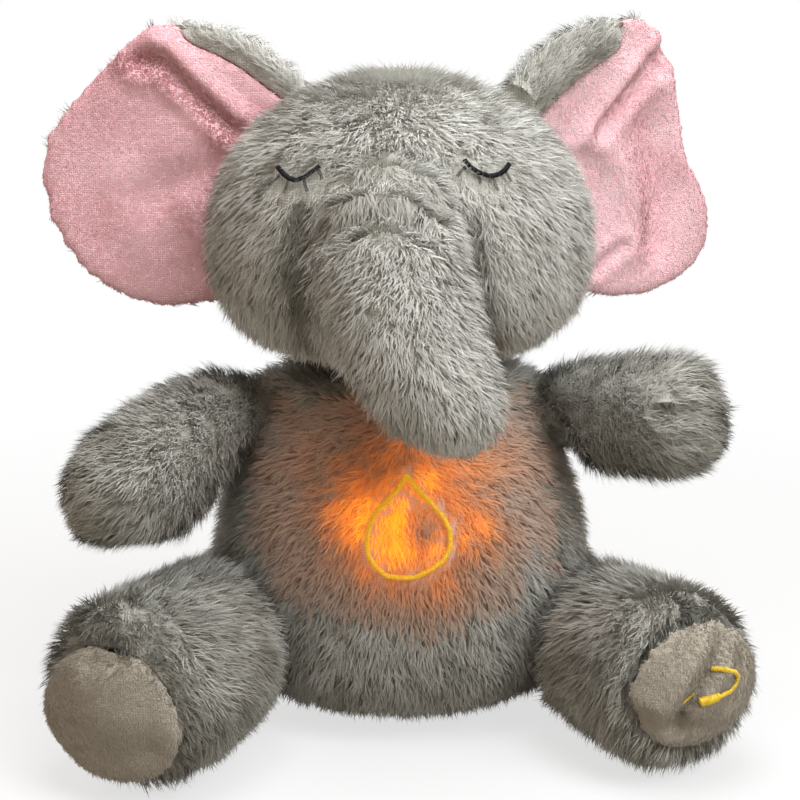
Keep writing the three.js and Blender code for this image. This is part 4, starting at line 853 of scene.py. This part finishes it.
def lock_mesh(name, seed, wisps, fibres, length, spread, wisp_radius, width, lean, mottle, rings=2):
    draw = np.random.default_rng(seed)
    vertices, faces, own_map = [], [], []
    for wisp in range(wisps):
        angle = 2 * math.pi * (wisp + draw.uniform(0, 0.8)) / wisps
        reach = spread * math.sqrt(draw.uniform(0.1, 1))
        root = np.array([math.cos(angle), math.sin(angle), 0]) * reach
        swing = draw.normal(0, 0.3)
        start, end = (math.radians(a + draw.normal(0, 8)) for a in lean)
        wisp_length, wisp_tone = length * draw.uniform(0.75, 1.15), 0.5 + draw.uniform(-0.5, 0.5) * mottle
        for _ in range(fibres):
            angle = draw.uniform(0, 2 * math.pi)
            offset = np.array([math.cos(angle), math.sin(angle), 0])
            offset = offset * wisp_radius * math.sqrt(draw.uniform(0, 1))
            heading, own_length = swing + draw.normal(0, 0.1), wisp_length * draw.uniform(0.8, 1.08)
            tone, twist = wisp_tone + draw.uniform(-mottle, mottle), draw.uniform(-0.6, 0.6)
            ahead, aside, tipped = math.cos(heading), math.sin(heading), math.sin(twist)
            across = np.array([-aside + 0.5 * tipped, ahead, 0.4 * tipped])
            point, base, step = root + offset, len(vertices), own_length / rings
            for ring in range(rings + 1):
                t = ring / rings
                centre = point - offset * 0.3 * t
                half = width / 2 * (1.0 if ring == 0 else 0.85)
                if ring < rings:
                    vertices += [centre + across * half, centre - across * half]
                else:
                    vertices.append(centre)
                tilt = start + (end - start) * (t + 0.25)
                forward = math.sin(tilt) * step
                point = point + np.array([forward * ahead, forward * aside, math.cos(tilt) * step])
            left, right = tone - 0.02, tone + 0.02
            for ring in range(rings - 1):
                low, high = ring / rings, (ring + 1) / rings
                faces.append((base, base + 1, base + 3, base + 2))
                own_map += [(left, low), (right, low), (right, high), (left, high)]
                base += 2
            faces.append((base, base + 1, base + 2))
            own_map += [(left, 1 - 1 / rings), (right, 1 - 1 / rings), (tone, 1)]
    mesh = bpy.data.meshes.new(name)
    mesh.from_pydata([tuple(v) for v in vertices], [], faces)
    mesh.uv_layers.new(name="OFBake").data.foreach_set("uv", np.array(own_map, np.float32).ravel())
    mesh.polygons.foreach_set("use_smooth", [True] * len(mesh.polygons))
    return mesh


def lock_collection(name, count, **sizes):
    collection = bpy.data.collections.new(name)
    for i in range(count):
        lock = lock_mesh(f"{name}_{i}", 11 + i, **sizes)
        collection.objects.link(bpy.data.objects.new(lock.name, lock))
    return collection


long_locks = lock_collection(
    "long_lock", 8, wisps=8, fibres=2, length=6.8 * MM, spread=1.8 * MM, wisp_radius=0.5 * MM,
    width=0.3 * MM, lean=(32, 68), mottle=0.25,
)
SHORT = {"wisps": 5, "fibres": 3, "spread": 0.75 * MM, "wisp_radius": 0.25 * MM, "rings": 1}
short_locks = lock_collection(
    "short_lock", 6, length=1.2 * MM, width=0.24 * MM, lean=(38, 72), mottle=0.08, **SHORT
)
flat_locks = lock_collection(
    "flat_lock", 6, length=1.1 * MM, width=0.34 * MM, lean=(62, 82), mottle=0.04, **SHORT
)


def new_group(name, inputs):
    """A Geometry Nodes tree, and the node with its inputs of (name, kind). Its output has the tree's name."""
    tree = bpy.data.node_groups.new(name, "GeometryNodeTree")
    for label, kind in inputs:
        tree.interface.new_socket(label, in_out="INPUT", socket_type=f"NodeSocket{kind}")
    tree.interface.new_socket(name, in_out="OUTPUT", socket_type="NodeSocketGeometry")
    return tree, add(tree, "NodeGroupInput")


def through(group, mesh, values):
    """What a Geometry Nodes tree makes of a mesh."""
    carrier = link("carrier", mesh)
    modifier = carrier.modifiers.new(group.name, "NODES")
    modifier.node_group = group
    for item in group.interface.items_tree:
        if item.item_type == "SOCKET" and item.in_out == "INPUT" and item.name in values:
            modifier[item.identifier] = values[item.name]
    return evaluated_mesh(carrier)


def turned(tree, rotation, by):
    """A rotation turned by angles in its own axes."""
    angles = add(tree, "FunctionNodeEulerToRotation", {"Euler": by})
    inputs = {"Rotation": rotation, "Rotate By": angles}
    return add(tree, "FunctionNodeRotateRotation", inputs, rotation_space="LOCAL")


def pile_tree():
    """Locks of pile over a cloth, no nearer to each other than Spacing. Part of Parts is grown at a time."""
    tree, given = new_group("Pile", (
        ("Cloth", "Geometry"), ("Locks", "Collection"), ("Fibre", "Material"), ("Spacing", "Float"),
        ("Seed", "Int"), ("Parts", "Int"), ("Part", "Int"), ("Unevenness", "Float"),
    ))

    def named(name, kind="FLOAT"):
        return add(tree, "GeometryNodeInputNamedAttribute", {"Name": name}, data_type=kind)

    def maths(operation, a, b, c=0.0):
        return add(tree, "ShaderNodeMath", {0: a, 1: b, 2: c}, operation=operation)

    def random(low, high, kind="FLOAT"):
        inputs = {"Min": low, "Max": high, "Seed": (given, "Seed")}
        return add(tree, "FunctionNodeRandomValue", inputs, data_type=kind)

    def stored(geometry, name, value, kind="FLOAT", domain="INSTANCE"):
        inputs = {"Geometry": geometry, "Name": name, "Value": value}
        return add(tree, "GeometryNodeStoreNamedAttribute", inputs, data_type=kind, domain=domain)

    grown = add(
        tree, "GeometryNodeDistributePointsOnFaces",
        {"Mesh": (given, "Cloth"), "Distance Min": (given, "Spacing"),
         "Density Max": maths("POWER", (given, "Spacing"), -2.0), "Density Factor": named("growth"),
         "Seed": (given, "Seed")},
        distribute_method="POISSON",
    )
    upright = add(tree, "FunctionNodeAlignRotationToVector", {"Vector": (grown, "Normal")}, axis="Z")
    brushed = add(
        tree, "FunctionNodeAlignRotationToVector",
        {"Rotation": upright, "Vector": named("lay", "FLOAT_VECTOR")}, axis="X", pivot_axis="Z",
    )
    stray = random((-0.12, -0.16, -0.4), (0.12, 0.16, 0.4), "FLOAT_VECTOR")
    turn = add(
        tree, "FunctionNodeIntegerMath", {0: add(tree, "GeometryNodeInputIndex"), 1: (given, "Parts")},
        operation="MODULO",
    )
    in_part = add(
        tree, "FunctionNodeCompare", {"A": turn, "B": (given, "Part")}, data_type="INT", operation="EQUAL"
    )
    kinds = add(
        tree, "GeometryNodeCollectionInfo",
        {"Collection": (given, "Locks"), "Separate Children": True, "Reset Children": True},
    )
    placed = add(
        tree, "GeometryNodeInstanceOnPoints",
        {"Points": (grown, "Points"), "Instance": kinds, "Pick Instance": True, "Selection": in_part,
         "Instance Index": random(0, 100, "INT"), "Rotation": turned(tree, brushed, stray),
         "Scale": maths("MULTIPLY", random(0.82, 1.18), named("trim"))},
    )
    uneven = maths("MULTIPLY_ADD", random(-0.5, 0.5), (given, "Unevenness"), named("tone"))
    toned = stored(placed, "lock_tone", uneven)
    lit = stored(toned, "lock_glow", maths("MULTIPLY", random(0.75, 1.25), named("glow")))
    grain = stored(lit, "cloth_normal", named("outward", "FLOAT_VECTOR"), "FLOAT_VECTOR")
    real = add(tree, "GeometryNodeRealizeInstances", {"Geometry": grain})
    fibre = add(tree, "ShaderNodeSeparateXYZ", {"Vector": named("OFBake", "FLOAT_VECTOR")})
    from_middle = maths("SUBTRACT", (fibre, "X"), 0.5)
    unlit, glowing = (
        remapped(tree, maths("MULTIPLY_ADD", from_middle, share, named(label)), 0.0, 1.0, low, high)
        for label, share, low, high in (("lock_tone", 0.7, 0.01, 0.485), ("lock_glow", 0.25, 0.515, 0.985))
    )
    is_lit = add(
        tree, "FunctionNodeCompare", {"A": named("lock_glow"), "B": 0.04}, data_type="FLOAT",
        operation="GREATER_THAN",
    )
    across = add(
        tree, "GeometryNodeSwitch", {"Switch": is_lit, "False": unlit, "True": glowing}, input_type="FLOAT"
    )
    own_map = add(tree, "ShaderNodeCombineXYZ", {"X": across, "Y": (fibre, "Y")})
    mapped = stored(real, "OFBake", own_map, "FLOAT2", "CORNER")
    finished = add(tree, "GeometryNodeSetMaterial", {"Geometry": mapped, "Material": (given, "Fibre")})
    add(tree, "NodeGroupOutput", {"Pile": finished})
    return tree


PILE = pile_tree()
PILES = {
    "fur": {"Locks": long_locks, "Fibre": grey_pile, "Spacing": 1.7 * MM, "Unevenness": 0.16},
    "sole": {"Locks": short_locks, "Fibre": sole_pile, "Spacing": 1.0 * MM, "Unevenness": 0.06},
    "ear": {"Locks": flat_locks, "Fibre": ear_pile, "Spacing": 1.0 * MM, "Unevenness": 0.03},
}
SOFTNESS = {"fur": 0.88, "sole": 0.88, "ear": 0.97}
# Large forms have their pile in several pieces
PARTS = {"torso": 3, "head": 3, "leg_right": 2, "leg_left": 2}
LOWEST = 0.15 * MM

for number, (name, form) in enumerate(FORMS.items()):
    kind, parts = form["cloth"], PARTS.get(name, 1)
    for part in range(parts):
        values = {**PILES[kind], "Seed": 3 + number, "Parts": parts, "Part": part}
        mesh = through(PILE, form["skin"], values)
        places = read(mesh.vertices, "co")
        places[:, 2] = np.maximum(places[:, 2], LOWEST)
        move_to(mesh, places)
        # Light scatters between the fibres, so the pile shades more like its cloth than fibre by fibre
        soft = read(mesh.attributes["cloth_normal"].data, "vector") * SOFTNESS[kind]
        soft += read(mesh.vertex_normals, "vector") * (1 - SOFTNESS[kind])
        mesh.normals_split_custom_set_from_vertices(unit(soft))
        for label in ("lock_tone", "lock_glow", "cloth_normal"):
            mesh.attributes.remove(mesh.attributes[label])
        pile = link(f"{name}_pile_{part + 1}" if parts > 1 else f"{name}_pile", mesh)
        follow(pile, name)


# Satin stitch: threads laid side by side across each line


def thread_mesh():
    """One thread. It comes up on one side of the line, crosses it and goes down on the other."""
    length, radius, sides, rings = 2.0 * MM, 0.2 * MM, 6, 6
    shape = bmesh.new()
    corners = []
    for ring in range(rings + 1):
        t = ring / rings
        rise = 0.8 * MM * math.sin(math.pi * t) ** 0.6 - 0.3 * MM
        for side in range(sides):
            turn = 2 * math.pi * side / sides
            slide = radius * math.sin(turn) * math.cos(math.pi * t) * 0.7
            place = ((t - 0.5) * length - slide, radius * math.cos(turn), rise + radius * math.sin(turn))
            corners.append(shape.verts.new(place))
    faces = []
    for ring in range(rings):
        for side in range(sides):
            a, b = ring * sides + side, ring * sides + (side + 1) % sides
            faces.append((a, b, b + sides, a + sides))
    for face in faces + [range(sides), range(rings * sides, (rings + 1) * sides)]:
        shape.faces.new([corners[i] for i in face]).smooth = True
    return as_mesh(shape, "thread", turned_out=True)


def row_tree():
    """One Item after another along a line of edges, a Pitch apart, standing off the nearest Cloth."""
    tree, given = new_group("Row", (
        ("Line", "Geometry"), ("Item", "Object"), ("Cloth", "Object"), ("Made of", "Material"),
        ("Pitch", "Float"), ("Size", "Float"), ("Stray", "Float"),
    ))
    line = add(tree, "GeometryNodeMeshToCurve", {"Mesh": (given, "Line")})
    even = add(tree, "GeometryNodeResampleCurve", {"Curve": line, "Length": (given, "Pitch")}, mode="LENGTH")
    cloth = add(tree, "GeometryNodeObjectInfo", {"Object": (given, "Cloth")})
    outward = add(
        tree, "GeometryNodeSampleNearestSurface",
        {"Mesh": (cloth, "Geometry"), "Value": add(tree, "GeometryNodeInputNormal"),
         "Sample Position": add(tree, "GeometryNodeInputPosition")},
        data_type="FLOAT_VECTOR",
    )
    tangent = add(tree, "GeometryNodeInputTangent")
    along = add(tree, "FunctionNodeAlignRotationToVector", {"Vector": tangent}, axis="Y")
    facing = add(
        tree, "FunctionNodeAlignRotationToVector", {"Rotation": along, "Vector": outward}, axis="Z",
        pivot_axis="Y",
    )
    stray = add(
        tree, "FunctionNodeRandomValue", {"Min": (0, 0, -1), "Max": (0, 0, 1), "Seed": 5},
        data_type="FLOAT_VECTOR",
    )
    strayed = add(tree, "ShaderNodeVectorMath", {0: stray, "Scale": (given, "Stray")}, operation="SCALE")
    item = add(tree, "GeometryNodeObjectInfo", {"Object": (given, "Item"), "As Instance": True})
    laid = add(
        tree, "GeometryNodeInstanceOnPoints",
        {"Points": even, "Instance": (item, "Geometry"), "Rotation": turned(tree, facing, strayed),
         "Scale": (given, "Size")},
    )
    real = add(tree, "GeometryNodeRealizeInstances", {"Geometry": laid})
    finished = add(tree, "GeometryNodeSetMaterial", {"Geometry": real, "Material": (given, "Made of")})
    add(tree, "NodeGroupOutput", {"Row": finished})
    return tree


ROW = row_tree()
STITCH_PITCH, STITCH_STRAY = 0.32 * MM, 0.2
thread_object = link("thread", thread_mesh())


def stand_in(name, mesh, material, body, node):
    """Show a piece in place of a CAD node."""
    mesh.materials.clear()
    mesh.materials.append(material)
    piece = link(name, mesh)
    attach(piece, body)
    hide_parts(node)


def embroider(name, form_name, lines, rayon, sizes, lift_mm, node):
    cloth = bpy.data.objects[f"{form_name}_cloth"]
    cloth_tree = tree_of(cloth.data)
    sewn = bmesh.new()
    for (points, closed), size in zip(lines, sizes):
        path = bpy.data.meshes.new(name)
        laid = [cloth_tree.find_nearest(point)[:2] for point in points]
        edges = [(i, i + 1) for i in range(len(points) - 1)] + [(len(points) - 1, 0)] * closed
        path.from_pydata([place + normal * (lift_mm * MM) for place, normal in laid], edges, [])
        values = {
            "Item": thread_object, "Cloth": cloth, "Made of": rayon, "Pitch": STITCH_PITCH, "Size": size,
            "Stray": STITCH_STRAY,
        }
        sewn.from_mesh(through(ROW, path, values))
    stand_in(name, as_mesh(sewn, name), rayon, FORMS[form_name]["body"], node)


embroider(
    "drop_embroidery", "torso", STITCHED["torso"], lit_gold_thread, [0.85], 1.9,
    "belly_drop_stitching",
)
eyes = {"right": STITCHED["head"][: len(EYE_RIGHT)], "left": STITCHED["head"][len(EYE_RIGHT) :]}
for side, lines in eyes.items():
    embroider(
        f"eye_embroidery_{side}", "head", lines, black_thread, (0.8, 0.5, 0.5, 0.5, 0.5), 2.3,
        f"eye_stitching_{side}",
    )
embroider(
    "note_embroidery", "sole_pad_left", STITCHED["sole_pad_left"], gold_thread, [0.85, 1.45, 0.5], 0.9,
    "note_stitching",
)

bpy.data.objects.remove(thread_object)
for collection in (long_locks, short_locks, flat_locks):
    for lock in list(collection.objects):
        bpy.data.objects.remove(lock)
    bpy.data.collections.remove(collection)


# Zip: two woven tapes with a corded edge each, and a nylon coil that meshes between them

def zip_bands(name, bands):
    """Bands along the zip as one mesh. Each has its left, right, inner and outer limit in mm."""
    shape = bmesh.new()
    for band in bands:
        zip_band(shape, *band, steps=24)
    return as_mesh(shape, name, turned_out=True)


tape = [(left, right, 106.8, 107.8) for left, right in ((-TAPE_HALF, -0.5), (0.5, TAPE_HALF))]
cords = [(-3.6, -2.4), (2.4, 3.6), (-7.9, -7.3), (7.3, 7.9)]
tape += [(left, right, 107.0, 108.1) for left, right in cords]
stand_in("zip_tape_woven", zip_bands("zip_tape", tape), tape_cloth, "torso", "zip_tape")

# A turn of the coil from each tape, half a pitch apart
COIL_PITCH, COIL_RADIUS, COIL_STEPS = 2.4 * MM, 108.1, 24
turns = bmesh.new()
for side, along in ((-1, -0.6), (1, 0.6)):
    wire = bmesh.ops.create_cone(
        turns, cap_ends=True, segments=8, radius1=0.55 * MM, radius2=0.4 * MM, depth=2.9 * MM
    )["verts"]
    for vertex in wire:
        x, y, z = vertex.co
        vertex.co = Vector((side * (0.72 * MM - z), y + along * MM, 1.05 * MM + x * 1.6))
turns_object = link("turns", as_mesh(turns, "turns", turned_out=True))
bed_object = link("bed", zip_bands("bed", [(-3.0, 3.0, 107.0, 108.0)]))
middle = bpy.data.meshes.new("middle")
coil_angles = [ZIP_ANGLES[0] + 0.6 + 25.8 * i / COIL_STEPS for i in range(COIL_STEPS + 1)]
edges = [(i, i + 1) for i in range(COIL_STEPS)]
middle.from_pydata([on_zip(0, angle, COIL_RADIUS) for angle in coil_angles], edges, [])
nylon = MATERIAL_OF_SLOT["black_plastic"]
values = {
    "Item": turns_object, "Cloth": bed_object, "Made of": nylon, "Pitch": COIL_PITCH, "Size": 1.0,
    "Stray": 0.0,
}
stand_in("zip_coil", through(ROW, middle, values), nylon, "torso", "zip_chain")
bpy.data.objects.remove(turns_object)
bpy.data.objects.remove(bed_object)

# Pocket: its sides and top hang a little uneven, where the module leaves them room
sleeve = link("sleeve", joined_nodes(("module_pocket",)))
fine = sleeve.modifiers.new("Fine", "SUBSURF")
fine.subdivision_type, fine.levels = "SIMPLE", 3
sleeve_mesh = evaluated_mesh(sleeve)
places = read(sleeve_mesh.vertices, "co")
sag = slow_noise(places, 22, 91.0)
places[:, 0] += 0.9 * MM * sag[:, 0] * smoothstep(np.abs(places[:, 0]), 20 * MM, 32 * MM)
places[:, 2] += 0.45 * MM * sag[:, 1] * smoothstep(places[:, 2], 70 * MM, 96 * MM)
move_to(sleeve_mesh, places)
stand_in("module_sleeve", sleeve_mesh, pocket_cloth, "torso", "module_pocket")


# Pieces that keep their CAD shape

for entry in frame["record"]["subparts"]:
    if entry["material_slot"] in MATERIAL_OF_SLOT:
        materials = frame["nodes"][entry["node"]].data.materials
        materials.clear()
        materials.append(MATERIAL_OF_SLOT[entry["material_slot"]])


# Floor, lights and camera

# Matt paper that keeps the toy's shadow. The camera sees it as white elsewhere
paper, tree = new_material("matt white paper")
seen = (add(tree, "ShaderNodeLightPath"), "Is Camera Ray")
far = add(tree, "ShaderNodeVectorMath", {0: (add(tree, "ShaderNodeTexCoord"), "Object")}, operation="LENGTH")
paler = remapped(tree, (far, "Value"), 0.15, 0.5, 0.7, 1.0)
# To the lamps' light it is a duller sheet, so that the toy's underside stays in shade
bounced = add(tree, "ShaderNodeMix", {0: seen, 6: linear("#A8A49C"), 7: linear("#F5F5F5")}, data_type="RGBA")
whitened = add(
    tree, "ShaderNodeMixShader",
    {"Fac": add(tree, "ShaderNodeMath", {0: seen, 1: paler}, operation="MULTIPLY"),
     1: add(tree, "ShaderNodeBsdfDiffuse", {"Color": bounced}),
     2: add(tree, "ShaderNodeEmission", {"Color": linear("#FFFFFF"), "Strength": 1.0})},
)
add(tree, "ShaderNodeOutputMaterial", {"Surface": whitened})
FLOOR_RADIUS, FLOOR_SIDES = 0.95, 96
floor_mesh = bpy.data.meshes.new("floor")
corners = [2 * math.pi * i / FLOOR_SIDES for i in range(FLOOR_SIDES)]
rim = [(FLOOR_RADIUS * math.cos(turn), FLOOR_RADIUS * math.sin(turn), 0) for turn in corners]
floor_mesh.from_pydata(rim, [], [range(FLOOR_SIDES)])
floor_mesh.materials.append(paper)
link("floor", floor_mesh)

scene.world = bpy.data.worlds.new("studio")
tree = cleared(scene.world)
path = add(tree, "ShaderNodeLightPath")
seen = add(tree, "ShaderNodeMath", {0: (path, "Is Camera Ray"), 1: (path, "Is Glossy Ray")}, operation="ADD")
seen = add(
    tree, "ShaderNodeMath", {0: seen, 1: (path, "Is Transmission Ray")}, operation="ADD", use_clamp=True
)
warm, white = (
    add(tree, "ShaderNodeBackground", {"Color": linear(colour), "Strength": strength})
    for colour, strength in (("#FFE9D2", 0.27), ("#FFFFFF", 1.0))
)
surroundings = add(tree, "ShaderNodeMixShader", {"Fac": seen, 1: warm, 2: white})
add(tree, "ShaderNodeOutputWorld", {"Surface": surroundings})


def area_light(name, place, size, power, colour):
    lamp = bpy.data.lights.new(name, "AREA")
    lamp.shape, lamp.size, lamp.energy, lamp.color = "DISK", size, power, linear(colour)[:3]
    holder = link(name, lamp)
    holder.location = place
    holder.rotation_euler = (Vector((0, 0, 0.12)) - Vector(place)).to_track_quat("-Z", "Y").to_euler()


area_light("key", (0.62, -0.7, 0.78), 0.8, 8.2, "#F8FBFF")
area_light("fill", (-1.0, -0.7, 0.6), 0.9, 0.8, "#FFD9B8")
area_light("top", (0.03, -0.2, 0.68), 0.45, 3.0, "#F8FBFF")
area_light("back", (-0.5, 0.95, 0.6), 0.9, 4.0, "#FFFFFF")

lens = bpy.data.cameras.new("camera")
lens.lens, lens.sensor_width, lens.clip_start, lens.clip_end = FOCAL_LENGTH, FILM_WIDTH, 0.01, 20.0
camera = link("camera", lens)
camera.location, camera.rotation_euler = CAMERA_PLACE, CAMERA_TURN
scene.camera = camera
scene.view_settings.view_transform = "Standard"
